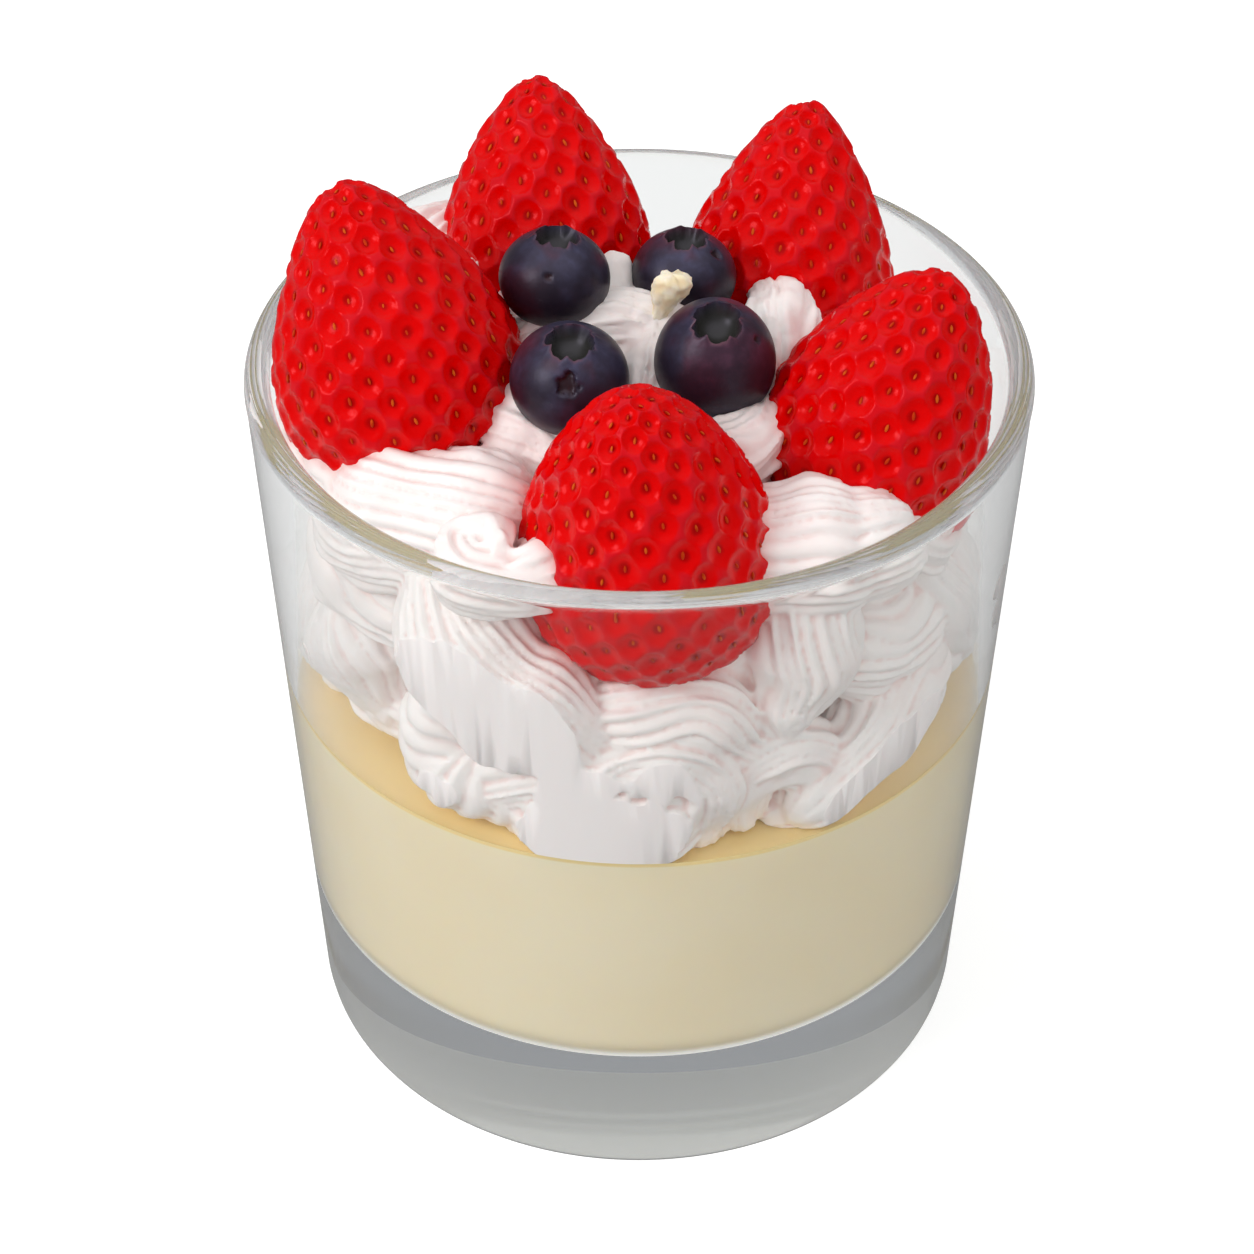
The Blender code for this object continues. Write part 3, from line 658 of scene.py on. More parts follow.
def glass_material(settings):
    """Clear glass. Light from the lamps and from lit surfaces passes it unbent, and sight is bent."""
    material, tree, shader = new_material("clear glass")
    set_inputs(
        shader, Base_Color=(*settings.tint, 1.0), Roughness=0.0, IOR=1.5, Transmission_Weight=1.0,
        Metallic=0.0, Specular_Tint=(0.0, 0.0, 0.0, 1.0),
    )
    path = add_node(tree, "ShaderNodeLightPath")
    clear = add_node(tree, "ShaderNodeBsdfTransparent", {"Color": (0.97, 0.975, 0.97, 1.0)}).outputs["BSDF"]
    lit = add_node(
        tree, "ShaderNodeMixShader", {0: path.outputs["Is Diffuse Ray"], 1: shader.outputs["BSDF"], 2: clear}
    )
    both = add_node(
        tree, "ShaderNodeMixShader", {0: path.outputs["Is Shadow Ray"], 1: lit.outputs["Shader"], 2: clear}
    )
    tree.links.new(both.outputs["Shader"], tree.nodes["Material Output"].inputs["Surface"])
    depth = add_node(
        tree, "ShaderNodeVolumeAbsorption", {"Color": (0.35, 0.37, 0.41, 1.0), "Density": 14.0}
    )
    tree.links.new(depth.outputs["Volume"], tree.nodes["Material Output"].inputs["Volume"])
    return material


# Custard


def custard_outline(settings):
    """From its flat bottom, just in the glass's floor, up the wall to its level and in to its middle."""
    corner = (FLOOR_CORNER_RADIUS, BASE_THICKNESS + FLOOR_ROUND)
    low = corner[1] + 0.5 * MM
    edge = inner_radius(CUSTARD_TOP) + settings.reach
    rise = settings.rise
    climb = [(0.0, rise), (0.3 * MM, 0.5 * rise), (0.9 * MM, 0.15 * rise), (1.8 * MM, 0.0)]
    outline = [(corner[0] - 0.5 * MM, BASE_THICKNESS - settings.reach)]
    outline += arc(corner, FLOOR_ROUND + settings.reach, -90, 0, 8)
    outline += [(inner_radius(low) + settings.reach, low)]
    outline += [(edge - back, CUSTARD_TOP + up) for back, up in climb]
    outline += [(share * edge, CUSTARD_TOP) for share in (0.8, 0.5, 0.1)]
    return outline


def custard_material(settings):
    material, tree, shader = new_material("custard")
    cloud = placed(tree, "mottle", Scale=60.0, Low=0.3, High=0.7)
    deeper = tuple(c * s for c, s in zip(settings.colour, (0.985, 0.97, 0.93)))
    colour = mixed(tree, cloud, settings.colour, deeper)
    place = add_node(tree, "ShaderNodeTexCoord").outputs["Object"]
    height = add_node(tree, "ShaderNodeSeparateXYZ", {"Vector": place}).outputs["Z"]
    # Painted shade: the custard's top is laid in a deeper gold, standing for the warm shade under the cream
    top = ramped(tree, height, CUSTARD_TOP - 0.3 * MM, CUSTARD_TOP - 0.05 * MM)
    colour = mixed(tree, top, colour, CUSTARD_TOP_SHADE)
    # Painted shade and painted light: at its bottom the custard turns a flat grey and emits a soft glow, for
    # what shows up through the thick base
    under = ramped(tree, height, BASE_THICKNESS + 2.5 * MM, BASE_THICKNESS + 0.3 * MM)
    flat = add_node(tree, "ShaderNodeVectorMath", {0: place, 1: (1.0, 1.0, 0.0)}, operation="MULTIPLY")
    from_middle = add_node(tree, "ShaderNodeVectorMath", {0: flat.outputs["Vector"]}, operation="LENGTH")
    wave = combined(tree, "MULTIPLY", placed(tree, "streaks", Scale=150.0, Low=0.2, High=0.8), 12 * MM)
    from_middle = combined(tree, "ADD", from_middle.outputs["Value"], wave)
    painted_glow = mixed(tree, ramped(tree, from_middle, 24 * MM, 14 * MM), PAINTED_GLOW_SIDES, PAINTED_GLOW_MIDDLE)
    tree.links.new(mixed(tree, under, (0.0, 0.0, 0.0), painted_glow), shader.inputs["Emission Color"])
    colour = mixed(tree, under, colour, settings.underside)
    speck = placed(tree, "specks", Scale=140.0, Size=0.03, Share=0.93)
    colour = mixed(tree, speck, colour, VANILLA_SPECK)
    tree.links.new(colour, shader.inputs["Base Color"])
    tree.links.new(placed(tree, "fine bump", Scale=350.0, Height=0.02 * MM), shader.inputs["Normal"])
    set_inputs(shader, Roughness=0.42, Emission_Strength=1.0)
    soft_inside(shader, 0.35, (1.0, 0.8, 0.45), 2.0 * MM)
    return material


# Cream


def curved_value(values, share):
    """A value on the smooth curve through evenly spaced values, for a share from 0 to 1."""
    place = share * (len(values) - 1)
    i = min(int(place), len(values) - 2)
    t = place - i
    before = values[max(i - 1, 0)]
    a = values[i]
    b = values[i + 1]
    after = values[min(i + 2, len(values) - 1)]
    bend = 2 * before - 5 * a + 4 * b - after
    return a + 0.5 * t * (b - before + t * (bend + t * (3 * (a - b) + after - before)))


def unwound(angles):
    """Azimuths made continuous, so that a route never jumps the long way round."""
    result = [angles[0]]
    for angle in angles[1:]:
        result.append(result[-1] + (angle - result[-1] + 180) % 360 - 180)
    return result


def stroke_points(route, pitch):
    """Places and radii along a stroke's smooth route, rounded off to a point at both ends."""
    azimuths = [math.radians(a) for a in unwound([p[0] for p in route])]
    columns = [
        [p[1] * math.cos(a) for a, p in zip(azimuths, route)],
        [p[1] * math.sin(a) for a, p in zip(azimuths, route)],
        [p[2] for p in route],
        [p[3] for p in route],
    ]
    corners = [Vector(c) * MM for c in zip(*columns[:3])]
    length = sum((b - a).length for a, b in zip(corners, corners[1:]))
    count = max(16, round(length / pitch))
    points = []
    for i in range(count):
        x, y, z, radius = (curved_value(column, i / (count - 1)) for column in columns)
        points.append((Vector((x, y, z)) * MM, radius * MM))
    start = rounded_off(points[0], points[0][0] - points[1][0], 0.7)
    end = rounded_off(points[-1], points[-1][0] - points[-2][0], 1.1)
    return start[::-1] + points + end


def rounded_off(point, way, reach):
    """Points that carry a stroke's end on and close it, over reach times its radius."""
    place, radius = point
    way = way.normalized()
    steps = 8
    result = []
    for i in range(1, steps + 1):
        angle = 0.5 * math.pi * i / steps
        result.append((place + way * radius * reach * math.sin(angle), radius * math.cos(angle)))
    return result


def stroke_frames(points):
    """At each point of a stroke, its way and two directions across it, turned as little as can be."""
    places = [place for place, radius in points]
    across = Vector((places[0].x, places[0].y, 0.0))
    frames = []
    for before, after in zip(places[:1] + places[:-1], places[1:] + places[-1:]):
        way = (after - before).normalized()
        across = (across - way * across.dot(way)).normalized()
        frames.append((way, across, across.cross(way)))
    return [np.array(column) for column in zip(*frames)]


def ridge_phase(around, along, ridges, tones):
    """Counts the ridges that run along a stroke, as they waver a little."""
    phase = ridges * around / (2 * math.pi) + 0.4 * np.sin(3 * around + tones[0])
    phase += 0.35 * np.sin(5 * around + tones[1])
    return phase + (0.35 * np.sin(9 * along + tones[2]) + 0.25 * np.sin(17 * along + tones[3]))


def rib_phase(around, along, ribs, tones):
    """Counts the ribs that run round a stroke, as they waver a little."""
    return ribs * along + 0.5 * np.sin(around + tones[0]) + 0.2 * np.sin(3 * around + tones[1])


def piped_stroke(number, route, turns, settings):
    """One stroke: a sphere whose rings are laid along its route, with the star nozzle's ridges along it."""
    draw = np.random.default_rng(number)
    points = stroke_points(route, settings.section_pitch)
    radii = np.array([radius for place, radius in points])
    middles = np.array([place for place, radius in points])
    ways, across, aside = stroke_frames(points)
    widest = radii.max()
    ridges = max(9, round(2 * math.pi * widest / settings.ridge_pitch))
    rings = len(points) - 1
    stroke = add_ball(FACES_PER_RIDGE * ridges, rings)
    sphere = read_places(stroke)
    ring = np.rint(np.arccos(np.clip(sphere[:, 2], -1, 1)) / math.pi * rings).astype(int)
    around = np.arctan2(sphere[:, 1], sphere[:, 0])
    along = ring / rings
    tones = draw.uniform(0, 2 * math.pi, 4)
    length = rings * settings.section_pitch
    if number in RIBBED:
        phase = rib_phase(around, along, length / (RIB_SPACING * settings.ridge_pitch), tones)
    else:
        phase = ridge_phase(around, along, ridges, tones)
    ridge = np.floor(phase).astype(int) % ridges
    crest = 1 - np.abs(2 * (phase % 1) - 1) ** CREST_ROUNDNESS
    rows = max(2, round(length / SWELL_LENGTH))
    heights = draw.uniform(0.7, 1.2, (rows + 1, ridges)) * draw.uniform(0.75, 1.15, ridges)
    row = np.minimum((along * rows).astype(int), rows - 1)
    part = along * rows - row
    crest *= heights[row, ridge] * (1 - part) + heights[row + 1, ridge] * part
    swell = 1 + 0.05 * np.sin(2 * math.pi * along * rows / 4 + tones[0])
    depth = settings.ridge_depth * np.minimum(1, 1.3 * radii[ring] / widest)
    wide = radii[ring] * swell - depth * (1 - crest)
    wide = np.where(radii[ring] > 0.01 * widest, np.maximum(wide, 0.2 * radii[ring]), 0.0)
    turn = (around + turns * 2 * math.pi * along)[:, None]
    teeth = draw.uniform(0.2, 1.5, ridges)[ridge] * settings.ridge_depth * crest * radii[ring] / widest
    to_end = np.clip(1 - (rings - ring) / CLOSING_SECTIONS, 0, 1) - np.clip(1 - ring / CLOSING_SECTIONS, 0, 1)
    places = middles[ring] + wide[:, None] * (np.cos(turn) * across[ring] + np.sin(turn) * aside[ring])
    write_places(stroke, places + (teeth * to_end)[:, None] * ways[ring])
    return stroke


def cream_core():
    """The plain cream under the strokes, further from the glass at the front, most of all at its foot."""
    reach = CREAM_CORE_BACK
    outline = [
        (reach - 4 * MM, CUSTARD_TOP - 2 * MM),
        (reach - 2 * MM, CUSTARD_TOP + 4 * MM),
        (reach, CREAM_CORE_SHOULDER - 8 * MM),
        (reach, CREAM_CORE_SHOULDER),
        (reach - 3 * MM, CREAM_CORE_SHOULDER + 6 * MM),
        (reach * 0.75, CREAM_CORE_SHOULDER + 9 * MM),
        (reach * 0.35, CREAM_CORE_TOP),
        (reach * 0.05, CREAM_CORE_TOP + 1 * MM),
    ]
    core = turn_up(outline, 128)
    for vertex in core.data.vertices:
        x, y, z = vertex.co
        from_front = abs(math.degrees(math.atan2(x, -y)))
        risen = ease(CUSTARD_TOP, CREAM_CORE_SHOULDER, z)
        share = (CREAM_CORE_FOOT + (CREAM_CORE_FRONT - CREAM_CORE_FOOT) * risen) / CREAM_CORE_BACK
        share += (1 - share) * ease(70, 95, from_front)
        lump = 1 + 0.05 * noise.noise(vertex.co * 110.0)
        vertex.co = (x * share * lump, y * share * lump, z)
    return core


def melt_together(obj, others, grain):
    """Joins overlapping closed meshes into one even skin."""
    pick(*others, obj)
    bpy.ops.object.join()
    melt = obj.modifiers.new("melt", "REMESH")
    melt.mode = "VOXEL"
    melt.voxel_size = grain
    apply_modifier(obj, "melt")


def press_on_glass(obj):
    """Flattens what would pass the wall or the custard, fills grooves there, and stores where that is."""
    places = read_places(obj)
    places[:, 2] = np.maximum(places[:, 2], CUSTARD_TOP - PRESS_REACH)
    smooth = evened(places, mesh_edges(obj.data), 22)
    limit = inner_radius(places[:, 2]) + PRESS_REACH
    distance = np.maximum(np.hypot(places[:, 0], places[:, 1]), MM)
    smooth_distance = np.hypot(smooth[:, 0], smooth[:, 1])
    filled = np.clip((smooth_distance - limit + PRESS_SLACK) / (0.1 * MM), 0, 1)
    filled *= np.clip((distance - limit + PRESS_DEEPEST) / MM, 0, 1)
    new_distance = np.minimum(distance, limit)
    new_distance += filled * (limit - new_distance)
    places[:, :2] *= (new_distance / distance)[:, None]
    write_places(obj, places)
    paint_attribute(obj, "pressed", np.clip(1 + (new_distance - limit) / (0.05 * MM), 0, 1))


def thinned(obj, limit):
    """Merges faces where the surface is flattest, until the count of triangles is below the limit."""
    triangles = sum(len(face.vertices) - 2 for face in obj.data.polygons)
    to_mm = 1 / MM
    obj.data.transform(Matrix.Scale(to_mm, 4))
    thin = obj.modifiers.new("thin", "DECIMATE")
    thin.ratio = min(1.0, limit / triangles)
    apply_modifier(obj, "thin")
    obj.data.transform(Matrix.Scale(MM, 4))


def keep_largest_body(obj):
    """Drops the loose scraps."""
    pick(obj)
    bpy.ops.object.mode_set(mode="EDIT")
    bpy.ops.mesh.select_all(action="SELECT")
    bpy.ops.mesh.separate(type="LOOSE")
    bpy.ops.object.mode_set(mode="OBJECT")
    bodies = sorted(bpy.context.selected_objects, key=lambda body: len(body.data.vertices))
    for scrap in bodies[:-1]:
        bpy.data.objects.remove(scrap, do_unlink=True)
    return bodies[-1]


def evened(values, edges, times):
    """Values of the vertices, each averaged with its neighbours' as often as times says."""
    count = len(values)
    shares = np.bincount(edges.ravel(), minlength=count)[:, None] + 1
    for repeat in range(times):
        total = values.copy()
        for column in range(values.shape[1]):
            total[:, column] += np.bincount(edges[:, 0], values[edges[:, 1], column], count)
            total[:, column] += np.bincount(edges[:, 1], values[edges[:, 0], column], count)
        values = total / shares
    return values


def mesh_edges(mesh):
    edges = np.empty(2 * len(mesh.edges), np.int32)
    mesh.edges.foreach_get("vertices", edges)
    return edges.reshape(-1, 2)


def mesh_normals(mesh):
    normals = np.empty(3 * len(mesh.vertices), np.float32)
    mesh.vertices.foreach_get("normal", normals)
    return normals.reshape(-1, 3)


def hollowness(obj):
    """How far each vertex lies below its surroundings, in mm."""
    places = read_places(obj)
    smooth = evened(places, mesh_edges(obj.data), 8)
    return ((smooth - places) * mesh_normals(obj.data)).sum(axis=1) / MM


def from_skins(obj, skins):
    """The distance in mm from each vertex to the nearest of the skins, negative inside one."""
    points = np.concatenate([read_places(skin) for skin in skins])
    normals = np.concatenate([mesh_normals(skin.data) for skin in skins])
    tree = search_tree(points)
    places = read_places(obj)
    found = [tree.find(place)[1:] for place in places]
    nearest = np.array([index for index, distance in found])
    distances = np.array([distance for index, distance in found])
    outside = ((places - points[nearest]) * normals[nearest]).sum(axis=1) > 0
    return np.where(outside, distances, -distances) / MM


def in_middle(obj):
    """Tells which vertices lie in the cream between the berries."""
    places = read_places(obj)
    return (np.hypot(places[:, 0], places[:, 1]) < MIDDLE_RADIUS) & (places[:, 2] > MIDDLE_FOOT)


def smooth_hidden(obj, hidden):
    """Evens the surface where nothing shows, so that thinning spends no faces there."""
    places = read_places(obj)
    even = evened(places, mesh_edges(obj.data), 25)
    write_places(obj, np.where(hidden[:, None], even, places))


def cream_material(settings):
    material, tree, shader = new_material("whipped cream")
    warmer = tuple(c * s for c, s in zip(settings.colour, (1.0, 0.965, 0.96)))
    colour = mixed(tree, placed(tree, "mottle", Scale=160.0, Low=0.35, High=0.75), settings.colour, warmer)
    # Painted shade in the grooves, deeper where the surface lies lower
    colour = mixed(tree, ramped(tree, attribute_value(tree, "groove_shade"), 0.0, 0.22), colour, settings.groove_shade)
    # Painted light: where the cream lies on the glass it is a touch lighter, making up for light lost through
    # the glass
    colour = mixed(tree, attribute_value(tree, "pressed"), colour, settings.pressed)
    # Juice stain and painted reflection of the berries' red, in the cream beside the strawberries
    colour = mixed(tree, attribute_value(tree, "juice_and_red_reflection"), colour, settings.juice_and_red_reflection)
    speck = placed(tree, "specks", Scale=230.0, Size=0.035, Share=0.85)
    colour = mixed(tree, speck, colour, BERRY_SPECK)
    tree.links.new(colour, shader.inputs["Base Color"])
    tree.links.new(placed(tree, "fine bump", Scale=700.0, Height=0.03 * MM), shader.inputs["Normal"])
    set_inputs(shader, Roughness=0.5)
    soft_inside(shader, 0.15, (1.0, 0.6, 0.5), 0.6 * MM)
    return material


# Strawberries


def berry_radius(from_tip, slimness):
    """Girth of a berry at an angle from its tip, before it is scaled to its greatest radius."""
    return math.sin(from_tip) * (1 - slimness * math.cos(from_tip))


def greatest_girth(slimness):
    steps = 157
    return max(berry_radius(math.pi * a / steps, slimness) for a in range(steps))


def berry_point(from_tip, around, form):
    """A point on a plain berry along +Z, with its base at the origin."""
    length, radius, slimness, ovalness = form
    girth = berry_radius(from_tip, slimness) / greatest_girth(slimness)
    wide = radius * girth * (1 + ovalness * math.cos(2 * around))
    return Vector((wide * math.cos(around), wide * math.sin(around), length * (1 + math.cos(from_tip)) / 2))


def pit_centres(form, spacing, draw):
    """Pits on a golden spiral, closer and smaller towards the tip: centre, along, across, size."""
    length, radius, slimness, ovalness = form
    widest = greatest_girth(slimness)
    steps = 900
    pits = []
    passed = 0.0
    before = berry_point(0.0, 0.0, form)
    for i in range(1, steps):
        from_tip = math.pi * i / steps
        here = berry_point(from_tip, 0.0, form)
        gap = spacing * (0.66 + 0.34 * ease(0.1, 1.1, from_tip))
        girth = 2 * math.pi * radius * berry_radius(from_tip, slimness) / widest
        passed += girth * (here - before).length / (0.866 * gap * gap)
        before = here
        if passed >= len(pits) + 0.5:
            around = len(pits) * GOLDEN_TURN + draw.uniform(-0.06, 0.06) * gap / max(girth, gap) * math.pi
            centre = berry_point(from_tip, around, form)
            along = (berry_point(from_tip - 0.01, around, form) - centre).normalized()
            across = (berry_point(from_tip, around + 0.01, form) - centre).normalized()
            across = (across - along * across.dot(along)).normalized()
            pits.append((centre, along, across, gap * draw.uniform(0.9, 1.08)))
    return pits


def pit_relief(mesh, pits):
    """For each vertex, its distance from the nearest pit's centre, which is 1 on the pit's edge."""
    tree = search_tree([pit[0] for pit in pits])
    distances = []
    for vertex in mesh.vertices:
        nearest = 3.0
        for found, i, distance in tree.find_n(vertex.co, 3):
            centre, along, across, size = pits[i]
            offset = vertex.co - centre
            lengthways = offset.dot(along) / (PIT_LENGTH * size)
            sideways = offset.dot(across) / (PIT_WIDTH * size)
            nearest = min(nearest, math.hypot(lengthways, sideways))
        distances.append(nearest)
    return np.array(distances)


def sink_pits(berry, from_pits, settings):
    """Presses the pits in and raises their rings, for good."""
    depths = np.clip(1 - from_pits ** 2.4, 0, 1) ** 0.9
    lips = np.exp(-((from_pits - 1.12) / 0.13) ** 2)
    relief = (("pits", depths, -settings.pit_depth), ("rings", lips, settings.lip_height))
    for name, weights, strength in relief:
        group = berry.vertex_groups.new(name=name)
        for i, weight in enumerate(weights):
            if weight > 0.01:
                group.add([i], weight, "REPLACE")
        push = berry.modifiers.new(name, "DISPLACE")
        push.vertex_group = name
        push.mid_level = 0.0
        push.strength = strength
        apply_modifier(berry, name)


def shape_seed(length):
    """One seed at the origin, pointed towards +Y."""
    nothing_selected()
    bpy.ops.mesh.primitive_ico_sphere_add(subdivisions=2, radius=1.0)
    seed = bpy.context.object
    for vertex in seed.data.vertices:
        x, y, z = vertex.co
        pinch = 1 - 0.35 * max(0.0, y) ** 2
        vertex.co = (0.2 * length * x * pinch, 0.5 * length * y, 0.16 * length * z * pinch)
    return seed


def seeds_of(name, pits, axes, settings, draw):
    """The seeds of one berry, one in each pit, as one mesh in the berry's own frame."""
    seed = shape_seed(settings.seed_length)
    shape = bmesh.new()
    for centre, along, across, size in pits:
        outwards = along.cross(across)
        if outwards.dot(centre - axes) < 0:
            outwards = -outwards
        share = size / settings.pit_spacing * draw.uniform(0.85, 1.1)
        turn = Matrix.Rotation(draw.uniform(-0.25, 0.25), 3, outwards)
        basis = turn @ Matrix((along.cross(outwards), along, outwards)).transposed()
        place = centre - outwards * settings.pit_depth * (0.95 if share > 0.8 else 0.85)
        first = len(shape.verts)
        shape.from_mesh(seed.data)
        shape.verts.ensure_lookup_table()
        for vertex in shape.verts[first:]:
            vertex.co = place + basis @ (vertex.co * share)
    mesh = bpy.data.meshes.new(name)
    shape.to_mesh(mesh)
    shape.free()
    bpy.data.objects.remove(seed, do_unlink=True)
    obj = bpy.data.objects.new(name, mesh)
    bpy.context.scene.collection.objects.link(obj)
    return obj


def strawberry_material(settings):
    """Red skin, darker round the seeds where painted shade fills the pits' floors, under a cooler net between
    the pits that fades here and there.
    """
    material, tree, shader = new_material("strawberry skin")
    wander = placed(tree, "mottle", Scale=480.0, Low=0.2, High=0.8)
    wander = combined(tree, "MULTIPLY", wander, 0.3)
    from_pit = combined(tree, "ADD", attribute_value(tree, "from_pit"), wander)
    fade = combined(tree, "MULTIPLY", placed(tree, "mottle", Scale=130.0, Low=0.35, High=0.55), 0.75)
    net = combined(tree, "MULTIPLY", ramped(tree, from_pit, 1.0, 1.25), combined(tree, "ADD", fade, 0.25))
    # Painted shade: the pits' floors turn darker red round the seeds
    colour = mixed(tree, ramped(tree, from_pit, 0.65, 0.3), settings.colour, settings.centre)
    colour = mixed(tree, net, colour, settings.crest)
    tree.links.new(colour, shader.inputs["Base Color"])
    tree.links.new(placed(tree, "fine bump", Scale=1100.0, Height=0.06 * MM), shader.inputs["Normal"])
    set_inputs(shader, Roughness=0.2, Specular_IOR_Level=0.35, Specular_Tint=(1.0, 0.16, 0.18, 1.0))
    return material


def seed_material(settings):
    material, tree, shader = new_material("strawberry seed")
    cloud = placed(tree, "mottle", Scale=330.0, Low=0.45, High=0.6)
    colour = mixed(tree, cloud, settings.seed, SEED_GOLD)
    tree.links.new(colour, shader.inputs["Base Color"])
    set_inputs(shader, Roughness=0.5, Specular_Tint=(0.6, 0.15, 0.05, 1.0))
    return material


# Blueberries


def crown_edge(around, phase):
    """The edge of the crown's hole, as an angle from the berry's top, and the teeth on it from 0 to 1."""
    turn = (around * CROWN_LOBES / (2 * math.pi) + phase) % 1.0
    tooth = max(0.0, 1 - abs(2 * turn - 1) * 2.2)
    way = Vector((math.cos(around), math.sin(around), phase * 7))
    rag = noise.noise(1.3 * way) + 0.8 * noise.noise(5.5 * way)
    return CROWN_ANGLE * (1 - 0.16 * tooth + 0.1 * rag), tooth


def blueberry_point(ring, around, form, phase, settings):
    """A point of the berry's skin. Rings run from the middle of the crown's bowl to the bottom."""
    half_width, half_height = form
    edge, tooth = crown_edge(around, phase)
    rim_wide = half_width * math.sin(edge)
    rim_high = half_height * math.cos(edge) + (0.08 + 0.30 * tooth) * MM
    bowl_wide = half_width * math.sin(CROWN_ANGLE)
    bowl_high = half_height * math.cos(CROWN_ANGLE)
    if ring <= CROWN_RINGS:
        share = ring / CROWN_RINGS
        torn = ease(0.7, 1.0, share)
        wide = bowl_wide * share * (1 - torn) + rim_wide * torn
        bowl = bowl_high - BOWL_DEPTH * (1 - share ** 2.6)
        return wide, bowl * (1 - torn) + rim_high * torn
    share = (ring - CROWN_RINGS) / settings.skin_rings
    from_top = edge + (math.pi - edge) * (0.25 * share + 0.75 * share ** 1.35)
    lip = 0.12 * MM * math.exp(-(math.degrees(from_top - edge) / 7.0) ** 2)
    wide = half_width * math.sin(from_top) + 0.4 * lip
    high = half_height * math.cos(from_top) + lip * (0.7 + 2.5 * tooth)
    return wide, high


def shape_blueberry(name, settings):
    """A round berry with a torn crown, from a sphere whose rings are drawn to the crown's outline."""
    centre, half_width, half_height, tilt_x, tilt_y = BLUEBERRIES[name]
    phase = 0.37 * (list(BLUEBERRIES).index(name) + 1)
    rings = CROWN_RINGS + settings.skin_rings
    obj = add_ball(settings.segments, rings)
    form = (half_width * MM, half_height * MM)
    crater = []
    rim = []
    bloom = []
    for vertex in obj.data.vertices:
        x, y, z = vertex.co
        ring = round(math.acos(max(-1.0, min(1.0, z))) / math.pi * rings)
        around = math.atan2(y, x)
        wide, high = blueberry_point(ring, around, form, phase, settings)
        vertex.co = (wide * math.cos(around), wide * math.sin(around), high)
        crater.append(1 - ease(0.7, 1.0, ring / CROWN_RINGS))
        rim.append(math.exp(-((ring - CROWN_RINGS) / 1.6) ** 2))
        bloom.append(1 - ease(0.0, 0.5, (ring - CROWN_RINGS) / settings.skin_rings))
    paint_attribute(obj, "crater", crater)
    paint_attribute(obj, "rim", rim)
    paint_attribute(obj, "bloom", bloom)
    obj.rotation_euler = (math.radians(tilt_x), math.radians(tilt_y), 0.0)
    obj.location = Vector(centre) * MM
    place_in_mesh(obj)
    return obj


def tear_scar(obj, name):
    """Presses a small ragged mark into the skin, and stores where it is."""
    centre = Vector(BLUEBERRIES[name][0]) * MM
    way, radius = SCARS[name]
    way = Vector(way).normalized()
    hit = max(obj.data.vertices, key=lambda vertex: (vertex.co - centre).normalized().dot(way)).co.copy()
    marks = []
    for vertex in obj.data.vertices:
        offset = vertex.co - hit
        rag = 0.4 * noise.noise(vertex.co * 1500.0)
        share = 1 - ease(0.6, 0.95, offset.length / (radius * MM) + rag)
        marks.append(share)
        vertex.co = vertex.co - way * share * 0.5 * radius * MM
    paint_attribute(obj, "scar", marks)


def blueberry_material(settings):
    """Nearly black skin under uneven bloom and purple tints, with a brown rim round a dull greenish bowl."""
    material, tree, shader = new_material("blueberry skin")
    cloud = placed(tree, "mottle", Scale=170.0, Low=0.42, High=0.62)
    wisps = placed(tree, "mottle", Scale=800.0, Low=0.35, High=0.7)
    cover = combined(tree, "MULTIPLY", attribute_value(tree, "bloom"), 0.55)
    cover = combined(tree, "ADD", cover, combined(tree, "MULTIPLY", cloud, 0.3))
    thin = combined(tree, "ADD", combined(tree, "MULTIPLY", wisps, 0.45), 0.55)
    cover = combined(tree, "MULTIPLY", cover, thin)
    ripe = placed(tree, "mottle", Scale=120.0, Low=0.5, High=0.6)
    tint = mixed(tree, ripe, settings.bloom, settings.purple)
    colour = mixed(tree, cover, settings.colour, tint)
    fleck = placed(tree, "specks", Scale=420.0, Size=0.06, Share=0.93)
    colour = mixed(tree, fleck, colour, SKIN_FLECK)
    colour = mixed(tree, attribute_value(tree, "scar"), colour, SCAR_BROWN)
    colour = mixed(tree, attribute_value(tree, "crater"), colour, CRATER_GREEN)
    rim = combined(tree, "MULTIPLY", attribute_value(tree, "rim"), wisps)
    colour = mixed(tree, rim, colour, RIM_BROWN)
    tree.links.new(colour, shader.inputs["Base Color"])
    tree.links.new(placed(tree, "fine bump", Scale=700.0, Height=0.05 * MM), shader.inputs["Normal"])
    set_inputs(shader, Roughness=0.4, Specular_Tint=(0.7, 0.65, 0.8, 1.0))
    return material


# Stub


def shape_stub(settings):
    """A leaning waxy chip, narrow at its foot, broad and ragged at its top."""
    axis = STUB_TOP - STUB_FOOT
    obj = add_ball(settings.sides, 26)
    for vertex in obj.data.vertices:
        x, y, z = vertex.co
        share = 0.5 + math.asin(max(-1.0, min(1.0, z))) / math.pi
        around = math.atan2(y, x)
        body = 0.4 + 0.7 * ease(0.15, 0.65, share)
        cap = min(1.0, 5 * share, 10 * (1 - share))
        rag = noise.noise(Vector((1.6 * math.cos(around), 1.6 * math.sin(around), 3 * share)))
        wide = STUB_RADIUS * body * math.sqrt(max(0.0, cap)) * (1 + 0.24 * rag)
        crown = 0.6 * MM * noise.noise(Vector((2.2 * math.cos(around), 2.2 * math.sin(around), 9.0)))
        high = axis.length * share + crown * ease(0.6, 1.0, share)
        vertex.co = (0.8 * wide * math.cos(around), wide * math.sin(around), high)
    stand_along(obj, STUB_FOOT, axis)
    for vertex in obj.data.vertices:
        vertex.co.x -= STUB_FOOT_SHIFT * (1 - ease(STUB_FOOT.z, STUB_FOOT.z + 0.7 * axis.length, vertex.co.z))
    ruffle(obj, "stub grain", 0.8 * MM, 0.7 * MM)
    return obj


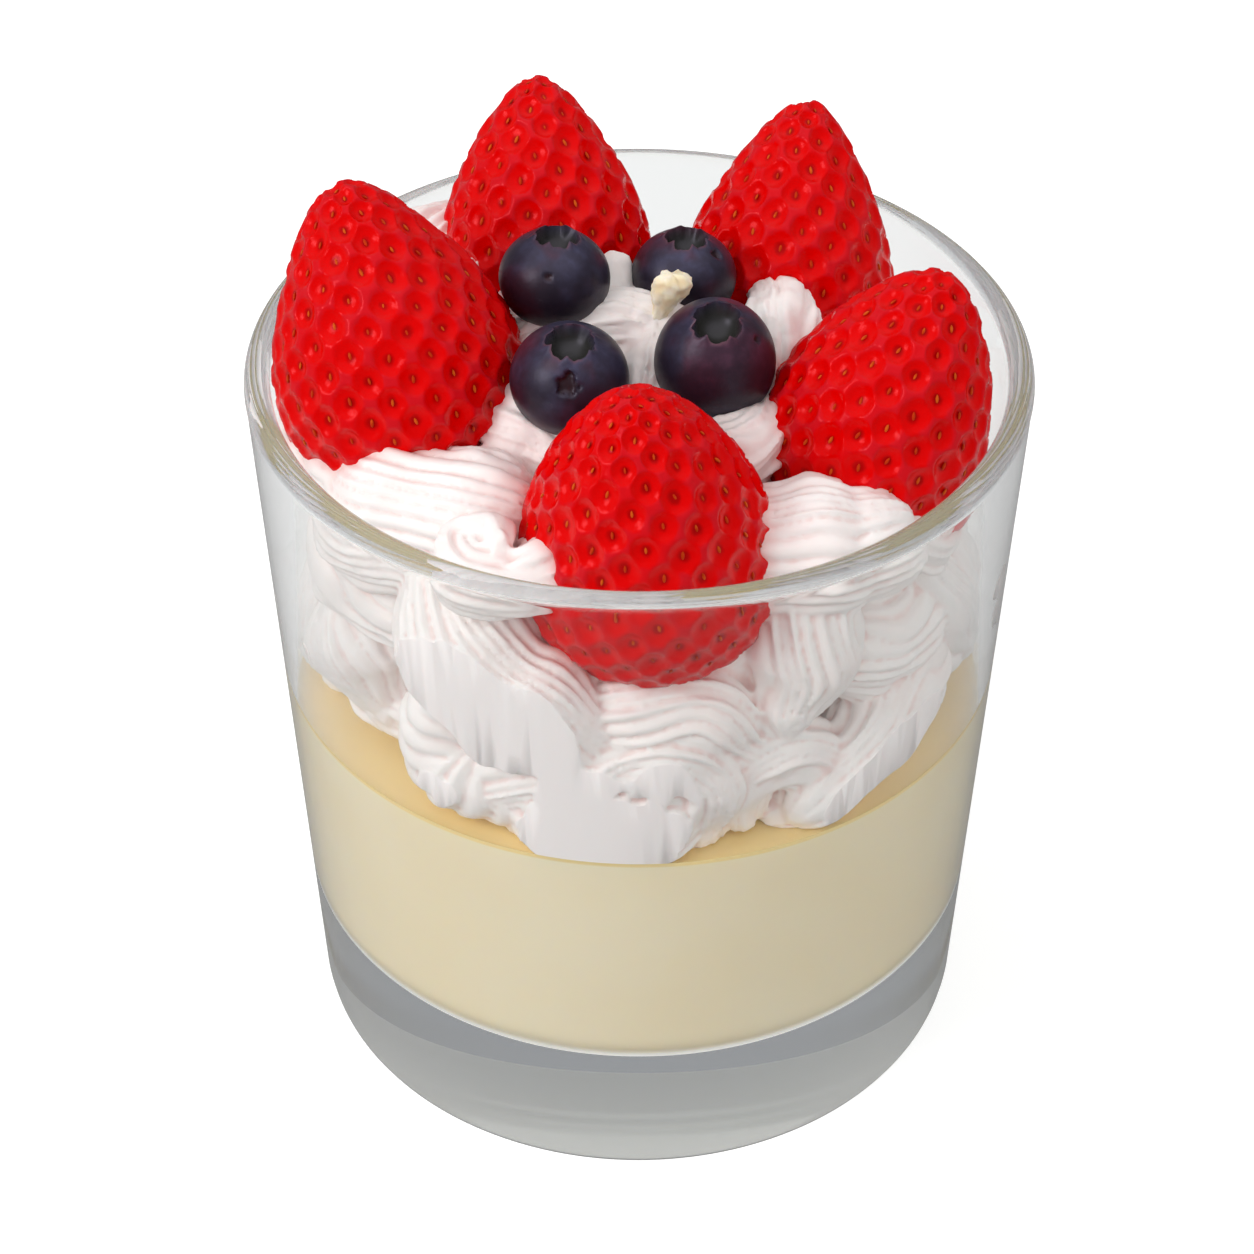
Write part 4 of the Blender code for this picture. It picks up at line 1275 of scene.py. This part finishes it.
def stub_material(settings):
    material, tree, shader = new_material("pale wax")
    cloud = placed(tree, "mottle", Scale=500.0, Low=0.35, High=0.7)
    colour = mixed(tree, cloud, settings.colour, WAX_PALE)
    speck = placed(tree, "specks", Scale=420.0, Size=0.07, Share=0.9)
    colour = mixed(tree, speck, colour, WAX_SPECK)
    tree.links.new(colour, shader.inputs["Base Color"])
    tree.links.new(placed(tree, "fine bump", Scale=1500.0, Height=0.04 * MM), shader.inputs["Normal"])
    set_inputs(shader, Roughness=0.5)
    soft_inside(shader, 0.3, (1.0, 0.7, 0.4), 1.0 * MM)
    return material


# Stage


def add_softbox(name, place, size, power):
    """A square lamp that faces the dish."""
    nothing_selected()
    bpy.ops.object.light_add(type="AREA", location=place)
    lamp = bpy.context.object
    lamp.name = name
    lamp.rotation_mode = "QUATERNION"
    lamp.rotation_quaternion = (LAMP_TARGET - place).to_track_quat("-Z", "Y")
    lamp.data.shape = "SQUARE"
    lamp.data.size = size
    lamp.data.energy = power


def studio_world():
    """A bright room. Glass and gloss see it with a dark band under a bright ceiling, as black cards give."""
    world = bpy.data.worlds.new("studio")
    bpy.context.scene.world = world
    world.use_nodes = True
    world.cycles.sampling_method = "NONE"
    tree = world.node_tree
    place = add_node(tree, "ShaderNodeTexCoord").outputs["Generated"]
    height = add_node(tree, "ShaderNodeSeparateXYZ", {"Vector": place}).outputs["Z"]
    even = mixed(tree, ramped(tree, height, 0.35, 0.85), ROOM_SIDES, ROOM_TOP)
    band = mixed(tree, ramped(tree, height, -0.1, 0.02), ROOM_TABLE, ROOM_BAND)
    shown = mixed(tree, ramped(tree, height, 0.55, 0.95), band, ROOM_CEILING)
    path = add_node(tree, "ShaderNodeLightPath")
    soft = combined(tree, "MAXIMUM", path.outputs["Is Diffuse Ray"], path.outputs["Is Camera Ray"])
    tree.links.new(mixed(tree, soft, shown, even), tree.nodes["Background"].inputs["Color"])


def floor_material(settings):
    material, tree, shader = new_material("studio floor")
    cloud = placed(tree, "mottle", Scale=3.0, Low=0.3, High=0.7)
    colour = mixed(tree, cloud, settings.floor, tuple(c * 0.995 for c in settings.floor))
    set_inputs(shader, Roughness=0.9, Emission_Color=(1.0, 1.0, 1.0, 1.0))
    path = add_node(tree, "ShaderNodeLightPath")
    colour = mixed(tree, path.outputs["Is Reflection Ray"], colour, FLOOR_IN_GLASS)
    tree.links.new(colour, shader.inputs["Base Color"])
    lift = combined(tree, "MULTIPLY", path.outputs["Is Camera Ray"], 0.3)
    tree.links.new(lift, shader.inputs["Emission Strength"])
    return material


class PARFAIT_OT_glass(bpy.types.Operator):
    """Turn the tumbler from its outline"""

    bl_idname = "parfait.glass"
    bl_label = "Glass"

    def execute(self, context):
        settings = context.scene.parfait.glass
        obj = turn_up(glass_outline(settings), settings.steps)
        finish_piece(obj, "glass_tumbler", glass_material(settings), "glass", 40.0)
        return {"FINISHED"}


class PARFAIT_OT_custard(bpy.types.Operator):
    """Fill the custard in, from the glass's floor to its level"""

    bl_idname = "parfait.custard"
    bl_label = "Custard"

    def execute(self, context):
        settings = context.scene.parfait.custard
        obj = turn_up(custard_outline(settings), context.scene.parfait.glass.steps)
        finish_piece(obj, "custard_layer", custard_material(settings), "custard", 50.0)
        return {"FINISHED"}


class PARFAIT_OT_strawberries(bpy.types.Operator):
    """Shape each strawberry with its pits and seeds"""

    bl_idname = "parfait.strawberries"
    bl_label = "Strawberries"

    def execute(self, context):
        settings = context.scene.parfait.strawberry
        skin = strawberry_material(settings)
        seed_skin = seed_material(settings)
        for number, (name, (tip, base, radius, slimness, ovalness)) in enumerate(STRAWBERRIES.items()):
            draw = random.Random(number)
            axis = (Vector(tip) - Vector(base)) * MM
            form = (axis.length, radius * MM, slimness, ovalness)
            berry = add_ball(settings.segments, settings.rings)
            for vertex in berry.data.vertices:
                x, y, z = vertex.co
                vertex.co = berry_point(math.acos(max(-1.0, min(1.0, z))), math.atan2(y, x), form)
            pits = pit_centres(form, settings.pit_spacing, draw)
            from_pits = pit_relief(berry.data, pits)
            sink_pits(berry, from_pits, settings)
            paint_attribute(berry, "from_pit", from_pits)
            middle = Vector((0, 0, axis.length / 2))
            seeds = seeds_of(f"seeds_{name}", pits, middle, settings, draw)
            for obj in (berry, seeds):
                stand_along(obj, Vector(base) * MM, axis)
            ruffle(berry, "berry unevenness", 7.0 * MM, 0.5 * MM)
            finish_piece(berry, f"{name}_skin", skin, name)
            finish_piece(seeds, f"{name}_seeds", seed_skin)
        return {"FINISHED"}


class PARFAIT_OT_blueberries(bpy.types.Operator):
    """Shape each blueberry with its torn crown"""

    bl_idname = "parfait.blueberries"
    bl_label = "Blueberries"

    def execute(self, context):
        settings = context.scene.parfait.blueberry
        skin = blueberry_material(settings)
        for name in BLUEBERRIES:
            obj = shape_blueberry(name, settings)
            tear_scar(obj, name)
            finish_piece(obj, f"{name}_skin", skin, name, 60.0)
        return {"FINISHED"}


class PARFAIT_OT_cream(bpy.types.Operator):
    """Pipe the cream's strokes, melt them together and press them on the glass"""

    bl_idname = "parfait.cream"
    bl_label = "Cream"

    def execute(self, context):
        settings = context.scene.parfait.cream
        core = cream_core()
        strokes = [piped_stroke(i, route, turns, settings) for i, (route, turns) in enumerate(STROKES)]
        melt_together(core, strokes, settings.grain)
        cream = keep_largest_body(core)
        ruffle(cream, "cream wobble", 5.0 * MM, settings.wobble)
        ruffle(cream, "cream dimples", 1.1 * MM, 0.2 * settings.wobble)
        middle = cream.vertex_groups.new(name="middle")
        middle.add(np.flatnonzero(in_middle(cream)).tolist(), 1.0, "REPLACE")
        ruffle(cream, "cream peaks", 2.6 * MM, 1.6 * settings.wobble, "middle")
        press_on_glass(cream)
        skins = [bpy.data.objects.get(f"{name}_skin") for name in STRAWBERRIES]
        if None in skins:
            raise RuntimeError("the strawberries come before the cream")
        far = from_skins(cream, skins)
        hidden = (far < -0.6) | (read_places(cream)[:, 2] < CUSTARD_TOP + 0.1 * MM)
        smooth_hidden(cream, hidden)
        # Juice stain and painted reflection of the berries' red, fading within about a millimetre of the
        # strawberries
        paint_attribute(cream, "juice_and_red_reflection", 0.35 * np.clip(1 - np.abs(far) / 1.3, 0, 1) ** 1.3)
        # Painted shade: how deep each groove lies, weaker between the berries
        paint_attribute(cream, "groove_shade", hollowness(cream) * np.where(in_middle(cream), MIDDLE_GROOVE_SHADE, 1.0))
        thinned(cream, CREAM_TRIANGLES)
        finish_piece(cream, "piped_cream", cream_material(settings), "cream", 60.0)
        return {"FINISHED"}


class PARFAIT_OT_stub(bpy.types.Operator):
    """Shape the pale stub in the middle"""

    bl_idname = "parfait.stub"
    bl_label = "Stub"

    def execute(self, context):
        settings = context.scene.parfait.stub
        stub = shape_stub(settings)
        finish_piece(stub, "wax_stub", stub_material(settings), "centre_stub", 60.0)
        return {"FINISHED"}


class PARFAIT_OT_stage(bpy.types.Operator):
    """Set up the floor, the lamps and the camera"""

    bl_idname = "parfait.stage"
    bl_label = "Stage"

    def execute(self, context):
        settings = context.scene.parfait.stage
        nothing_selected()
        bpy.ops.mesh.primitive_plane_add(size=4.0, location=(0, 0, -0.2 * MM))
        floor = bpy.context.object
        floor.name = "studio_floor"
        floor.data.materials.append(floor_material(settings))
        studio_world()
        add_softbox("left softbox", LAMP_PLACE, LAMP_SIZE, LAMP_POWER)
        nothing_selected()
        bpy.ops.object.camera_add(location=settings.camera_place, rotation=(settings.camera_tilt, 0.0, 0.0))
        camera = bpy.context.object
        camera.data.lens = settings.lens
        camera.data.sensor_width = 36.0
        context.scene.camera = camera
        context.scene.view_settings.view_transform = "Standard"
        context.scene.cycles.glossy_bounces = 24
        context.scene.cycles.transmission_bounces = 24
        context.scene.cycles.max_bounces = 24
        nothing_selected()
        return {"FINISHED"}


class PARFAIT_PT_panel(bpy.types.Panel):
    """Lists the steps that build the parfait"""

    bl_idname = "PARFAIT_PT_panel"
    bl_label = "Parfait"
    bl_space_type = "VIEW_3D"
    bl_region_type = "UI"
    bl_category = "Parfait"

    def draw(self, context):
        for step in STEPS:
            self.layout.operator(step.bl_idname)


SETTINGS = (
    GlassSettings,
    CustardSettings,
    CreamSettings,
    StrawberrySettings,
    BlueberrySettings,
    StubSettings,
    StageSettings,
    ParfaitSettings,
)
STEPS = (
    PARFAIT_OT_glass,
    PARFAIT_OT_custard,
    PARFAIT_OT_strawberries,
    PARFAIT_OT_blueberries,
    PARFAIT_OT_cream,
    PARFAIT_OT_stub,
    PARFAIT_OT_stage,
)


def register():
    for part in (*SETTINGS, *STEPS, PARFAIT_PT_panel):
        bpy.utils.register_class(part)
    bpy.types.Scene.parfait = bpy.props.PointerProperty(type=ParfaitSettings)


def unregister():
    del bpy.types.Scene.parfait
    for part in reversed((*SETTINGS, *STEPS, PARFAIT_PT_panel)):
        bpy.utils.unregister_class(part)


def main():
    register()
    bpy.ops.parfait.glass()
    bpy.ops.parfait.custard()
    bpy.ops.parfait.strawberries()
    bpy.ops.parfait.blueberries()
    bpy.ops.parfait.cream()
    bpy.ops.parfait.stub()
    bpy.ops.parfait.stage()


if __name__ == "__main__":
    main()
